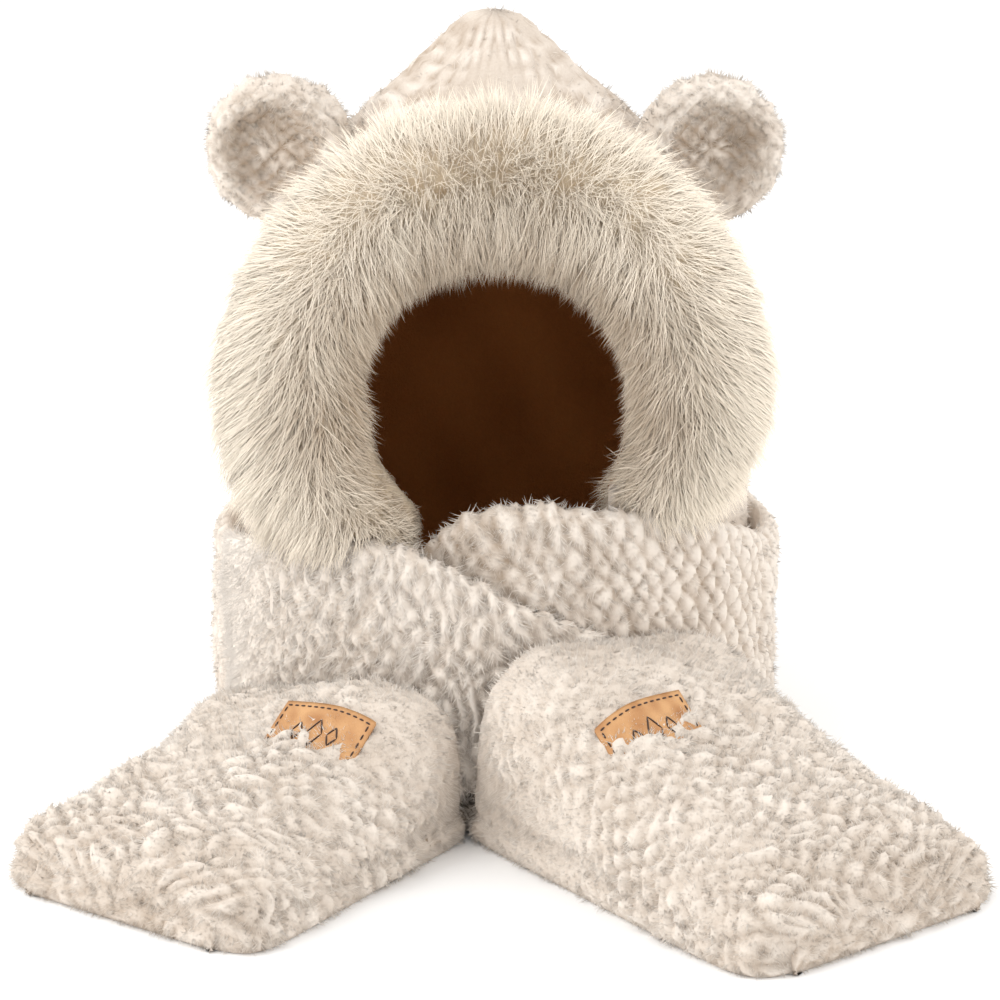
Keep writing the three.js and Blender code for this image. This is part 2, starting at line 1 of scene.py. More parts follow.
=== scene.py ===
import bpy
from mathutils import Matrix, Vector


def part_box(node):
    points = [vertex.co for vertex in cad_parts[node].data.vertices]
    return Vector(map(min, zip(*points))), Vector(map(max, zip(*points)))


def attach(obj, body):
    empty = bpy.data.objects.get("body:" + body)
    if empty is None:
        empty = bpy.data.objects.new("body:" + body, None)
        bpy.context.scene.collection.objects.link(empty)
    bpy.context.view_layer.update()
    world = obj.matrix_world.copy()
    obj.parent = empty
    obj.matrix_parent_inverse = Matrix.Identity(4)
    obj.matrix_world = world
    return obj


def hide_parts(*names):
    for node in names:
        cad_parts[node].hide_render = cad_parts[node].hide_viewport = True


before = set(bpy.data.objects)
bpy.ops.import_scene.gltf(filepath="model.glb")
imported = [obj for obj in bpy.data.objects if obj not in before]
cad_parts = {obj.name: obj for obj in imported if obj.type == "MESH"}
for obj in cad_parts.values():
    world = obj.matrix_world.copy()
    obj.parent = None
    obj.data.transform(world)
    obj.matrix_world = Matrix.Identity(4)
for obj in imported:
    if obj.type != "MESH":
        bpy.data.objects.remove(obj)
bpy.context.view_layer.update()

import math

import bpy
import numpy as np
from mathutils import Vector

# An animal hood scarf: a plush hood with round ears and a long-haired face trim, and
# a padded scarf that crosses in front and ends in two hand pockets. Sizes are in
# millimetres in the hood's own frame: the hood's axis stands at x 0, y 0.
MM = 0.001

HOOD_HALF_WIDTH = 150
HOOD_HALF_DEPTH = 118
HOOD_HEIGHT = 360
HEM_HEIGHT = 60
HOOD_WALL = 8
LINING_THICKNESS = 2.5
CLEARANCE = 0.3
FLANK_SLOPE = 0.74
PILE_LOW = 100
PEAK_LOW = 372

FACE_HALF_WIDTH = 94
FACE_HALF_HEIGHT = 86
FACE_CENTRE_HEIGHT = 238
THROAT_HALF_WIDTH = 64

TRIM_HALF_WIDTH = 113
TRIM_HALF_HEIGHT = 110
TRIM_FORWARD = 100
TRIM_LEAN = 0.2
TRIM_TUCK = 26
TRIM_START = math.radians(-146)
TRIM_END = math.radians(130)
BACKING_RADIUS = 38
END_TAPER = 0.3
END_ROUND = 0.16
RIGHT_TUCK = 16
BAND_TURN = math.radians(85)

EAR_RADIUS = 43
EAR_THICKNESS = 30
EAR_SPREAD = 0.82 * HOOD_HALF_WIDTH
EAR_CENTRE_HEIGHT = HEM_HEIGHT + 0.7944 * HOOD_HEIGHT
EAR_BACK = 4
EAR_TURN = math.radians(12)
EAR_SINK = 3

SCARF_THICKNESS = 14
COLLAR_HEIGHT = 126
COLLAR_EASE = 0.5
POCKET_WALL = 12
POCKET_RIM = SCARF_THICKNESS + CLEARANCE
CROTCH_FORWARD = 60
TILT_PIVOT = 0.36
DOME_POWER = 4
SEAM_OVERLAP = 9
SEAM_SINK = 2.5
SKIRT_STEPS = 4
GROUND_GAP = 0.6

LABEL_LENGTH = 60
LABEL_WIDTH = 31
LABEL_THICKNESS = 1.8
LABEL_BACK_RISE = 5.5
LABEL_FRONT_RISE = -5.0
THREAD_RADIUS = 0.55

# Pile, long hair and the padding's settling
WAVE_COUNT = 14
WARM_TINT = "#fff0e2"
NOISE_SHARE = 0.3
BUMP_DEPTH = 0.0008
PILE_WIDTH = 0.7
THICK_PILE_WIDTH = 0.75
PILE_LENGTH = 4.6
PILE_SOFTNESS = 0.72
HAIR_COUNT = 31500
HAIR_WIDTH = 0.5
HAIR_SOFTNESS = 0.94
HAIR_BELLY = 0.45
HAIR_LENGTH = 36
CLOTH_MASS = 0.2
CLOTH_PRESSURE = 4
SETTLING_FRAMES = 20
SETTLING_GRID = (30, 34)
SETTLING_REACH = 5.0

CAMERA_PLACE = (3, -2322.58, 933.62)
CAMERA_DOWN = math.radians(19)
CAMERA_LENS = 150
FLOOR_REACH = 6.0
FLOOR_COLOUR = (0.92, 0.92, 0.92, 1)
SKY_COLOUR = (1, 0.995, 0.985, 1)
LIGHT_TARGET = (0, 0, 0.15)
LIGHTS = [
    # name, place and size in metres, power in watts
    ("key_light", (-1.0, -0.5, 2.4), 1.4, 15),
    ("rear_light", (0.3, 1.7, 2.2), 1.6, 8),
    ("left_light", (-1.9, -0.9, 0.9), 2.0, 24),
    ("right_light", (1.9, -0.7, 0.9), 2.0, 18),
]

RANDOM = np.random.default_rng(7)

# The hood's rear wall gives its axis: its rearmost row stands this far behind it.
REAR_OF_AXIS = (0.08 + 1.02 * math.cos(math.pi / 22)) * HOOD_HALF_DEPTH
hood_low, hood_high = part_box("hood_shell")
AXIS = np.array([(hood_low[0] + hood_high[0]) / 2, hood_high[1] - REAR_OF_AXIS * MM, 0.0])


# Tables
HOOD_SECTIONS = np.array([
    # share of height, share of half width, share of half depth, set back
    (0, 1, 1, 0),
    (0.208, 0.995, 1, 0),
    (0.333, 0.985, 1.01, 0.03),
    (0.444, 0.967, 1.03, 0.055),
    (0.556, 0.94, 1.02, 0.08),
    (0.653, 0.873, 0.965, 0.105),
    (0.728, 0.767, 0.88, 0.135),
    (0.792, 0.64, 0.765, 0.165),
    (0.844, 0.513, 0.63, 0.195),
    (0.897, 0.36, 0.455, 0.225),
    (0.942, 0.24, 0.31, 0.25),
    (0.974, 0.157, 0.205, 0.27),
    (0.99, 0.105, 0.135, 0.276),
    (0.998, 0.05, 0.065, 0.28),
    (1, 0.004, 0.005, 0.28),
])
UNDER_ROWS = np.array([
    # low edge: turn, out, height; high edge: turn, out, height; fold
    (73, 0, 0, 73, 0, 1, 0),
    (57, 0, 0, 57, 0.25, 1.14, 0),
    (45, 0, 0.02, 45, 0.4, 1.23, 0),
    (32, 0.2, 0.03, 32, 0.4, 1.3, 0),
    (21, 0.8, 0.05, 20, 0.3, 1.345, 0),
    (9, 1.6, 0.06, 8, 0.1, 1.38, 0.2),
    (2, 2.7, 0.056, -8, 0, 1.3, 0.6),
    (-2, 3.4, 0.056, -24, 0, 0.9, 0.9),
    (-4, 3.95, 0.056, -38, 0, 0.5, 1),
    (-4.6, 4.3, 0.056, -50, 0, 0.2, 1),
])
OVER_ROWS = np.array([
    (-73, 0, 0, -73, 0, 1, 0),
    (-60, 0.6, 0.13, -58, 0.8, 1.09, 0),
    (-48, 1.2, 0.2, -48, 1.2, 1.16, 0),
    (-37, 1.5, 0.22, -37, 1.3, 1.2, 0),
    (-27, 2, 0.22, -26, 1.3, 1.23, 0),
    (-18, 2.66, 0.21, -18, 1.3, 1.22, 0),
    (-11, 3.2, 0.2, -9.6, 1.3, 1.14, 0),
    (-5.5, 3.6, 0.19, -2.6, 1.3, 1.055, 0),
    (-1.5, 3.9, 0.16, 4.5, 1.3, 0.96, 0.1),
    (-2.2, 4.1, 0.12, 11.6, 1.25, 0.88, 0.2),
    (-2.7, 4.35, 0.08, 19, 1.2, 0.8, 0.3),
    (-3, 4.5, 0.06, 27, 1.2, 0.7, 0.4),
    (-3.1, 4.6, 0.056, 36, 1.25, 0.5, 0.5),
    (-3.1, 4.65, 0.056, 45, 1.4, 0.25, 0.6),
])
NECK_ROWS = np.array([(70, 1), (110, 0.97), (145, 0.88), (180, 0.83), (215, 0.88), (250, 0.97), (290, 1)])
PAW_ROWS = np.array([
    # share of length, share of half width, share of thickness, left crest, right crest
    (0, 0.97, 1, 0.93, 0.93),
    (0.04, 0.99, 1, 0.99, 0.99),
    (0.12, 1, 1, 1, 1),
    (0.25, 1, 1, 0.88, 0.9),
    (0.4, 1, 1, 0.74, 0.74),
    (0.58, 1, 1, 0.62, 0.58),
    (0.75, 1, 1, 0.54, 0.46),
    (0.88, 0.99, 1, 0.49, 0.39),
    (0.95, 0.94, 0.95, 0.45, 0.355),
    (0.985, 0.85, 0.8, 0.39, 0.31),
    (1, 0.7, 0.5, 0.29, 0.23),
])
EAR_PROFILE = np.array([
    # share of radius, share of half thickness to the front
    (0, 0.1), (0.35, 0.14), (0.55, 0.45), (0.72, 0.9), (0.86, 0.92), (0.96, 0.55),
    (1, 0), (0.95, -0.5), (0.8, -0.85), (0.5, -1), (0, -1),
])
PAWS = {
    "left": {"side": -1, "width": 172, "length": 192, "crest": 84, "column": 3, "tilt": 0.52,
             "splay": math.radians(-35), "shift": -17.5, "label": (0.33, -0.38)},
    "right": {"side": 1, "width": 178, "length": 238, "crest": 106, "column": 4, "tilt": 0.22,
              "splay": math.radians(38), "shift": -11.5, "label": (0.395, -0.44)},
}


# Numbers and curves
def rising(value, start, width):
    """From 0 up to start to 1 a width further on."""
    return np.clip((value - start) / width, 0, 1)


def hermite(t, start, start_slope, end, end_slope):
    return ((2 * t**3 - 3 * t**2 + 1) * start + (t**3 - 2 * t**2 + t) * start_slope
            + (3 * t**2 - 2 * t**3) * end + (t**3 - t**2) * end_slope)


def smooth_table(rows, column, at):
    """A column of a table at any place, on a smooth curve through its rows that doesn't overshoot."""
    x, y = rows[:, 0], rows[:, column]
    step = np.diff(x)
    slope = np.diff(y) / step
    tangent = np.zeros(len(x))
    both = slope[:-1] * slope[1:] > 0
    weight = (step[:-1] + 2 * step[1:], 2 * step[:-1] + step[1:])
    with np.errstate(divide="ignore", invalid="ignore"):
        mean = (weight[0] + weight[1]) / (weight[0] / slope[:-1] + weight[1] / slope[1:])
    tangent[1:-1] = np.where(both, mean, 0)
    tangent[0], tangent[-1] = slope[0], slope[-1]
    at = np.clip(at, x[0], x[-1])
    i = np.clip(np.searchsorted(x, at, side="right") - 1, 0, len(x) - 2)
    return hermite((at - x[i]) / step[i], y[i], step[i] * tangent[i], y[i + 1], step[i] * tangent[i + 1])


def spline(points, at):
    """Centripetal Catmull-Rom curve through points, at shares from 0 to 1."""
    ends = np.vstack([2 * points[0] - points[1], points, 2 * points[-1] - points[-2]])
    place = np.clip(at, 0, 1) * (len(points) - 1)
    i = np.minimum(place.astype(int), len(points) - 2)
    t = (place - i)[:, None]
    p0, p1, p2, p3 = ends[i], ends[i + 1], ends[i + 2], ends[i + 3]
    d0, d1, d2 = (np.sqrt(np.linalg.norm(b - a, axis=1))[:, None] for a, b in ((p0, p1), (p1, p2), (p2, p3)))
    m1 = ((p1 - p0) / d0 - (p2 - p0) / (d0 + d1) + (p2 - p1) / d1) * d1
    m2 = ((p2 - p1) / d1 - (p3 - p1) / (d1 + d2) + (p3 - p2) / d2) * d1
    return hermite(t, p1, m1, p2, m2)


def unit(vectors):
    return vectors / np.maximum(np.linalg.norm(vectors, axis=-1, keepdims=True), 1e-9)


def waves(points, wavelength, seed):
    """A smooth random field with values of about -1 to 1: plane waves in random directions."""
    chance = np.random.default_rng(seed)
    ways = unit(chance.normal(size=(WAVE_COUNT, points.shape[-1])))
    ways *= (2 * math.pi / wavelength) * chance.uniform(0.6, 1.4, (WAVE_COUNT, 1))
    phases = chance.uniform(0, 2 * math.pi, WAVE_COUNT)
    return np.sin(points @ ways.T + phases).sum(-1) / math.sqrt(WAVE_COUNT)


def per_cell(p, q, seed):
    """A random number from 0 to 1 for each cell of a lattice."""
    mixed = np.sin(np.floor(p) * 127.1 + np.floor(q) * 311.7 + seed * 74.7) * 43758.5453
    return mixed - np.floor(mixed)


def bobbles(along, across, row, column, seed, power):
    """Puffy diamond stitches in staggered rows: their height, 0 to about 1, with each cell its own."""
    p = along / row + across / column
    q = along / row - across / column
    puff = (np.abs(np.sin(math.pi * p)) * np.abs(np.sin(math.pi * q))) ** power
    return puff * (0.72 + 0.5 * per_cell(p, q, seed))


# Meshes
def new_object(name, data):
    thing = bpy.data.objects.new(name, data)
    bpy.context.scene.collection.objects.link(thing)
    return thing


def new_mesh(name, points, faces, shade=None):
    """A smooth mesh from points in millimetres in the hood's frame, and from only triangles or only quads.
    Shade is the cloth's tone at each point, from 0 to 1."""
    mesh = bpy.data.meshes.new(name)
    placed = np.asarray(points, dtype=np.float64) * MM + AXIS
    mesh.vertices.add(len(placed))
    mesh.vertices.foreach_set("co", placed.astype(np.float32).ravel())
    mesh.loops.add(faces.size)
    mesh.loops.foreach_set("vertex_index", faces.astype(np.int32).ravel())
    mesh.polygons.add(len(faces))
    mesh.polygons.foreach_set("loop_start", np.arange(0, faces.size, faces.shape[1], dtype=np.int32))
    mesh.update(calc_edges=True)
    mesh.polygons.foreach_set("use_smooth", np.ones(len(faces), dtype=bool))
    if shade is not None:
        mesh.attributes.new("shade", "FLOAT", "POINT").data.foreach_set("value", shade.astype(np.float32))
    return mesh


def new_piece(name, mesh, material, replaces=()):
    piece = new_object(name, mesh)
    mesh.materials.append(material)
    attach(piece, "root")
    if replaces:
        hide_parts(*replaces)
    return piece


def new_padded(node, points, faces, tones, name=None, material=None):
    """A padded piece that stands for one of the solids."""
    name = name or node + "_cloth"
    mesh = new_mesh(name, points, faces, tones)
    new_piece(name, mesh, material or plush, [node])


def outward(points, faces):
    """The faces, turned round where they enclose a negative volume."""
    a, b, c = points[faces[:, 0]], points[faces[:, 1]], points[faces[:, 2]]
    volume = np.einsum("ij,ij->i", a, np.cross(b, c)).sum()
    if faces.shape[1] == 4:
        d = points[faces[:, 3]]
        volume += np.einsum("ij,ij->i", a, np.cross(c, d)).sum()
    return faces if volume > 0 else faces[:, ::-1]


def ring_faces(rows, count, wrap=True):
    """Quads between rows of points, closed round each row or open."""
    i, j = np.meshgrid(np.arange(rows - 1), np.arange(count if wrap else count - 1), indexing="ij")
    a, b = i * count + j, i * count + (j + 1) % count
    return np.stack([a, b, b + count, a + count], -1).reshape(-1, 4)


def cap_faces(first, count):
    """Quads across a closed ring of an even number of points."""
    j = np.arange(count // 2 - 1)
    return np.stack([first + j, first + j + 1, first + count - 2 - j, first + count - 1 - j], -1)


def facing(normals, ways):
    """Normals, turned round where they point against ways."""
    return normals * np.sign(np.sum(normals * ways, -1, keepdims=True) + 1e-9)


def tube_faces(rows, count):
    """Quads of a closed form: rings of points, and a cap across the first and the last."""
    last = (rows - 1) * count
    return np.vstack([ring_faces(rows, count), cap_faces(0, count)[:, ::-1], cap_faces(last, count)])


def grid_normals(grid, wrap):
    """Normals of a grid of points, along rows and round each row."""
    along = np.gradient(grid, axis=0)
    if wrap:
        round_row = np.roll(grid, -1, axis=1) - np.roll(grid, 1, axis=1)
    else:
        round_row = np.gradient(grid, axis=1)
    return unit(np.cross(along, round_row))


def shell(outer, inner, keep=None):
    """Points and quads of a wall between two grids, and how many of the quads, the first ones, are the outer
    grid's. With keep the grids close round each row and over their last row, and it says which quads stay."""
    rows, count = outer.shape[:2]
    if keep is None:
        faces = ring_faces(rows, count, False)
    else:
        cap = cap_faces((rows - 1) * count, count)[:, ::-1]
        faces = np.vstack([ring_faces(rows, count)[keep.ravel()], cap])
    edges = np.stack([faces, np.roll(faces, -1, axis=1)], -1).reshape(-1, 2)
    key = np.sort(edges, axis=1)
    _, place, times = np.unique(key[:, 0] * rows * count + key[:, 1], return_index=True, return_counts=True)
    rim = edges[place[times == 1]]
    shift = rows * count
    band = np.stack([rim[:, 1], rim[:, 0], rim[:, 0] + shift, rim[:, 1] + shift], -1)
    points = np.vstack([outer.reshape(-1, 3), inner.reshape(-1, 3)])
    everything = np.vstack([faces, faces[:, ::-1] + shift, band])
    used, everything = np.unique(everything, return_inverse=True)
    everything = everything.reshape(-1, 4)
    return points[used], outward(points[used], everything), len(faces)


# Soft stuffing, settled by a cloth simulation
def settled(points, faces, held):
    """How far each point of a closed cloth form moves when blown up, within reach. Held points stay."""
    scene = bpy.context.scene
    form = new_object("settling", new_mesh("settling", points, faces))
    still = form.vertex_groups.new(name="still")
    still.add(np.nonzero(held)[0].tolist(), 1.0, "REPLACE")
    cloth = form.modifiers.new("cloth", "CLOTH")
    cloth.settings.quality = 4
    cloth.settings.mass = CLOTH_MASS
    cloth.settings.use_pressure = True
    cloth.settings.uniform_pressure_force = CLOTH_PRESSURE
    cloth.settings.vertex_group_mass = "still"
    cloth.settings.effector_weights.gravity = 0
    cloth.point_cache.frame_start, cloth.point_cache.frame_end = 1, SETTLING_FRAMES
    for frame_number in range(1, SETTLING_FRAMES + 1):
        scene.frame_set(frame_number)
    evaluated = form.evaluated_get(bpy.context.evaluated_depsgraph_get())
    after = np.empty(len(points) * 3, dtype=np.float32)
    evaluated.data.vertices.foreach_get("co", after)
    moved = (after.reshape(-1, 3) - AXIS) / MM - points
    scene.frame_set(1)
    bpy.data.objects.remove(form)
    far = np.linalg.norm(moved, axis=1, keepdims=True)
    return moved * np.minimum(1, SETTLING_REACH / np.maximum(far, 1e-6))


def spread_out(coarse, rows, columns, shape):
    """Values at some rows and columns of a grid, brought evenly to all of its points."""
    tall = np.apply_along_axis(lambda line: np.interp(np.arange(shape[0]), rows, line), 0, coarse)
    return np.apply_along_axis(lambda line: np.interp(np.arange(shape[1]), columns, line), 1, tall)


def settled_wall(outer, inner):
    """Both faces of a padded wall after it has settled. What lies on the ground stays."""
    rows, columns = (np.linspace(0, full - 1, few).round().astype(int)
                     for full, few in zip(outer.shape, SETTLING_GRID))
    pick = np.ix_(rows, columns)
    points, faces, _ = shell(outer[pick], inner[pick])
    moved = settled(points, faces, points[:, 2] < POCKET_RIM).reshape(2, len(rows), len(columns), 3)
    return (outer + spread_out(moved[0], rows, columns, outer.shape),
            inner + spread_out(moved[1], rows, columns, inner.shape))


# Hairs, each a thin closed solid with three sides
def hair_mesh(name, centres, ways, normals, width, softness, ends, triangles, shades, steps):
    """Three corners round each hair's centre, and then its pointed ends. Softness leans its shading towards
    the surface below, and steps makes its corners darker or lighter."""
    side = unit(np.cross(ways, normals + 1e-3))
    lift = np.cross(ways, side)
    points = np.empty((len(centres), 3 + len(ends), 3))
    shading = np.empty(points.shape)
    for k in range(3):
        angle = 2 * math.pi * k / 3
        out = side * math.cos(angle) + lift * math.sin(angle)
        points[:, k] = centres + out * (width / 2)
        shading[:, k] = unit(normals * softness + out * (1 - softness))
    points[:, 3:] = np.stack(ends, 1)
    shading[:, 3:] = normals[:, None]
    faces = np.arange(len(centres))[:, None, None] * points.shape[1] + np.array(triangles)
    tones = np.clip(shades[:, None] + np.array(steps), 0, 1).ravel()
    mesh = new_mesh(name, points.reshape(-1, 3), faces.reshape(-1, 3), tones)
    mesh.normals_split_custom_set_from_vertices(shading.reshape(-1, 3))
    return mesh


def long_hairs(name, roots, ways, normals, lengths, curl, shades):
    """Spindles, thickest near the middle, that leave their roots along ways and bend by curl."""
    ways = unit(ways)
    lengths = lengths[:, None]
    centres = roots + ways * lengths * HAIR_BELLY + curl * lengths * HAIR_BELLY**2
    ends = (roots, roots + ways * lengths + curl * lengths)
    triangles = [(0, 1, 4), (1, 2, 4), (2, 0, 4), (1, 0, 3), (2, 1, 3), (0, 2, 3)]
    # Each hair is darker at its root, as painted shade down among the hairs, and lighter at its tip.
    return hair_mesh(name, centres, ways, normals, HAIR_WIDTH, HAIR_SOFTNESS, ends, triangles, shades,
                     (0.0, 0.0, 0.0, -0.35, 0.12))


def short_hairs(name, roots, ways, normals, lengths, width, shades):
    """Spikes of pile. Their tips stay above the ground."""
    ways = unit(ways)
    tips = roots + ways * lengths[:, None]
    tips[:, 2] = np.maximum(tips[:, 2], GROUND_GAP)
    triangles = [(0, 2, 1), (0, 1, 3), (1, 2, 3), (2, 0, 3)]
    # The corners at the root are a little darker, as painted shade down in the pile, and the tip lighter.
    return hair_mesh(name, roots, ways, normals, width, PILE_SOFTNESS, (tips,), triangles, shades,
                     (-0.12, -0.12, -0.12, 0.14))


def scattered(points, faces, count, weight=None):
    """Random places on quads, by area times weight: positions, normals and quad numbers."""
    a, b, c, d = (points[faces[:, k]] for k in range(4))
    normal = np.cross(c - a, d - b)
    area = np.linalg.norm(normal, axis=1)
    chance = area if weight is None else area * weight
    order = np.cumsum(chance)
    pick = np.searchsorted(order, RANDOM.uniform(0, order[-1], count))
    s, t = RANDOM.uniform(size=(2, count, 1))
    places = (a[pick] * (1 - s) + b[pick] * s) * (1 - t) + (d[pick] * (1 - s) + c[pick] * s) * t
    return places, unit(normal[pick]), pick


# Materials
def with_inputs(node, inputs):
    """A shader node with some of its inputs set."""
    for key in inputs:
        node.inputs[key].default_value = inputs[key]
    return node


def colour_of(hexadecimal):
    values = [int(hexadecimal[i:i + 2], 16) / 255 for i in (1, 3, 5)]
    return [v / 12.92 if v <= 0.04045 else ((v + 0.055) / 1.055) ** 2.4 for v in values] + [1.0]


def fibre_material(name, low, high, scale, roughness=0.9, sheen=0.1, tint="#ffffff", bump=0.35, gloss=0.15):
    """Cloth, hair or leather: the colour runs from low to high with the mesh's shade and a fine noise."""
    material = bpy.data.materials.new(name)
    material.use_nodes = True
    nodes, links = material.node_tree.nodes, material.node_tree.links

    def new_node(kind, inputs=()):
        return with_inputs(nodes.new("ShaderNode" + kind), inputs)

    shader = with_inputs(nodes["Principled BSDF"], {
        "Roughness": roughness, "Specular IOR Level": gloss,
        "Sheen Weight": sheen, "Sheen Roughness": 0.6, "Sheen Tint": colour_of(tint)})
    place = new_node("TexCoord")
    shade = new_node("Attribute")
    shade.attribute_name = "shade"
    noise = new_node("TexNoise", {"Scale": scale, "Detail": 5})
    add = new_node("Math", {1: NOISE_SHARE})
    add.operation = "MULTIPLY_ADD"
    ramp = new_node("ValToRGB")
    ramp.color_ramp.elements[0].position = NOISE_SHARE / 2
    ramp.color_ramp.elements[0].color = colour_of(low)
    ramp.color_ramp.elements[1].color = colour_of(high)
    relief = new_node("Bump", {"Strength": bump, "Distance": BUMP_DEPTH})
    links.new(place.outputs["Object"], noise.inputs["Vector"])
    links.new(noise.outputs["Fac"], add.inputs[0])
    links.new(shade.outputs["Fac"], add.inputs[2])
    links.new(add.outputs[0], ramp.inputs["Fac"])
    links.new(ramp.outputs["Color"], shader.inputs["Base Color"])
    links.new(noise.outputs["Fac"], relief.inputs["Height"])
    links.new(relief.outputs["Normal"], shader.inputs["Normal"])
    return material


plush = fibre_material("plush_knit", "#a08c78", "#e3d9ce", 700, tint=WARM_TINT)
plush_hair = fibre_material("plush_hair", "#a9957f", "#e8dfd5", 500, tint=WARM_TINT, bump=0.0)
long_hair = fibre_material("long_hair", "#967a5a", "#fdf1df", 160, tint=WARM_TINT, bump=0.0)
fur_ground = fibre_material("fur_ground", "#b9a183", "#dccbb1", 400, bump=0.4)
lining_cloth = fibre_material("lining_fleece", "#6e3815", "#c07a40", 900, tint="#7a4a28", bump=0.8)
leather = fibre_material("leather", "#a9764a", "#cb9c6c", 900, 0.55, sheen=0.0, bump=0.5, gloss=0.35)
thread = fibre_material("thread", "#2b1a10", "#4a3020", 2500, sheen=0.25, bump=0.2)


# The hood and its lining
def hood_section(shares, grow):
    """The hood's half width, half depth and set back at shares of its height, offset by grow."""
    wide = smooth_table(HOOD_SECTIONS, 1, shares) * HOOD_HALF_WIDTH + grow
    deep = smooth_table(HOOD_SECTIONS, 2, shares) * HOOD_HALF_DEPTH + grow
    return wide, deep, smooth_table(HOOD_SECTIONS, 3, shares) * HOOD_HALF_DEPTH


def hood_grid(turns, shares, grow):
    """Points of the hood's form, offset by grow."""
    wide, deep, back = hood_section(shares[:, None], grow)
    wide, deep = np.maximum(wide, 1.0), np.maximum(deep, 1.0)
    height = (HEM_HEIGHT + shares * (HOOD_HEIGHT + grow))[:, None]
    return np.stack([wide * np.sin(turns), back - deep * np.cos(turns), height + 0 * turns], -1)


def in_opening(points):
    x, y, z = points[..., 0], points[..., 1], points[..., 2] - FACE_CENTRE_HEIGHT
    oval = (x / FACE_HALF_WIDTH) ** 2 + (z / FACE_HALF_HEIGHT) ** 2 < 1
    slot = (np.abs(x) < THROAT_HALF_WIDTH) & (z < 0)
    return (oval | slot) & (y < 0)


def on_outline(points):
    """Points moved sideways to the outline of the face opening and its throat slot."""
    x, z = points[:, 0], points[:, 2] - FACE_CENTRE_HEIGHT
    grow = 1 / np.maximum(np.hypot(x / FACE_HALF_WIDTH, z / FACE_HALF_HEIGHT), 0.1)
    corner = -FACE_HALF_HEIGHT * math.sqrt(1 - (THROAT_HALF_WIDTH / FACE_HALF_WIDTH) ** 2)
    in_slot = z < corner
    moved = points.copy()
    moved[:, 0] = np.where(in_slot, np.sign(x) * THROAT_HALF_WIDTH, x * grow)
    moved[:, 2] = FACE_CENTRE_HEIGHT + np.where(in_slot, z, np.maximum(z * grow, corner))
    return moved


def hood_wall(columns, rows, outside, inside, pattern=None):
    """The hood's wall, cut out at the face: its points, its quads, and how many of them, the first ones, are
    outside. Pattern gives the outside's relief."""
    turns = 2 * math.pi * (np.arange(columns) + 0.5) / columns
    shares = np.linspace(0, 1, rows) ** 0.93
    outer, inner = hood_grid(turns, shares, outside), hood_grid(turns, shares, inside)
    if pattern:
        normals = facing(grid_normals(outer, True), outer - outer.mean(1, keepdims=True))
        outer = outer + normals * pattern(outer)[..., None]
    middle = (outer + np.roll(outer, -1, axis=1))[:-1] / 2
    keep = ~in_opening((middle + np.roll(outer, -1, axis=0)[:-1]) / 2)
    touched = [np.zeros(outer.shape[:2], dtype=bool) for _ in range(2)]
    for mask, quads in zip(touched, (keep, ~keep)):
        for row in (0, 1):
            for column in (0, 1):
                mask[row:row + rows - 1] |= np.roll(quads, column, axis=1)
    rim = touched[0] & touched[1]
    outer[rim], inner[rim] = on_outline(outer[rim]), on_outline(inner[rim])
    return shell(outer, inner, keep)


def knit_puff(outer):
    """Slanted stitches, seen best on the peak, where the pile is thin."""
    across = np.abs(outer[..., 0]) + 0.4 * np.abs(outer[..., 1] - 0.28 * HOOD_HALF_DEPTH)
    up = outer[..., 2] + FLANK_SLOPE * across + 1.5 * waves(outer, 40, 3)
    return bobbles(up, across + 1.0 * waves(outer, 30, 4), 8.0, 12.0, 5, 0.5)


def knit_depth(points):
    """How clear the stitches are: most on the upper peak, little below it, and not at all at the very top."""
    top = HEM_HEIGHT + HOOD_HEIGHT
    clear = np.clip((points[..., 2] + FLANK_SLOPE * np.abs(points[..., 0]) - top + 22) / 12, 0.15, 1)
    return clear * np.clip((top - points[..., 2]) / 8, 0, 1)


def knit_relief(outer):
    """Puffy stitches with a slow unevenness."""
    stitches = 2.8 * knit_depth(outer) * (knit_puff(outer) - 0.5)
    return stitches + 1.5 * waves(outer, 70, 6) + 0.4 * waves(outer, 9, 7)


def shade_of(points, wavelength, seed):
    return np.clip(0.5 + 0.28 * waves(points, wavelength, seed), 0, 1)


def fuzz(name, points, faces, tones, count, length, width, seed, drop=0.25, swirl=0.5, weight=None):
    """Short pile on quads, combed by slow random swirls and gravity. Its tone is the cloth's."""
    roots, normals, pick = scattered(points, faces, count, weight)
    swirls = np.stack([waves(roots, 17, seed + k) for k in range(3)], -1)
    loose = RANDOM.normal(size=(count, 3)) * 0.15
    ways = normals + swirl * swirls + loose - np.array([0, 0, drop])
    ways += normals * np.maximum(0.4 - np.sum(unit(ways) * normals, -1, keepdims=True), 0) * 2
    lengths = length * RANDOM.uniform(0.6, 1.2, count) * (1 + 0.2 * waves(roots, 14, seed + 5))
    shades = np.clip(tones[faces[pick]].mean(1) + 0.10 + RANDOM.normal(size=count) * 0.05, 0, 1)
    mesh = short_hairs(name, roots - normals * 0.8, ways, normals, lengths, width, shades)
    new_piece(name, mesh, plush_hair)


def make_hood():
    points, faces, outer_count = hood_wall(180, 100, 0, -HOOD_WALL, knit_relief)
    # Painted shade: darker between the stitches and lighter on their puffs, where the knit is clear.
    tones = 0.56 + 0.06 * waves(points, 45, 13) - 0.65 * knit_depth(points) * (0.7 - knit_puff(points))
    tones = np.clip(tones, 0, 1)
    new_padded("hood_shell", points, faces, tones, name="hood_cloth")
    outside = faces[:outer_count]
    level = points[outside[:, 0], 2]
    outside, level = outside[level > PILE_LOW], level[level > PILE_LOW]
    cover = np.where(level > PEAK_LOW, 0.3, 1.0)
    fuzz("hood_pile", points, outside, tones, 12500, PILE_LENGTH, THICK_PILE_WIDTH, 31, weight=cover)


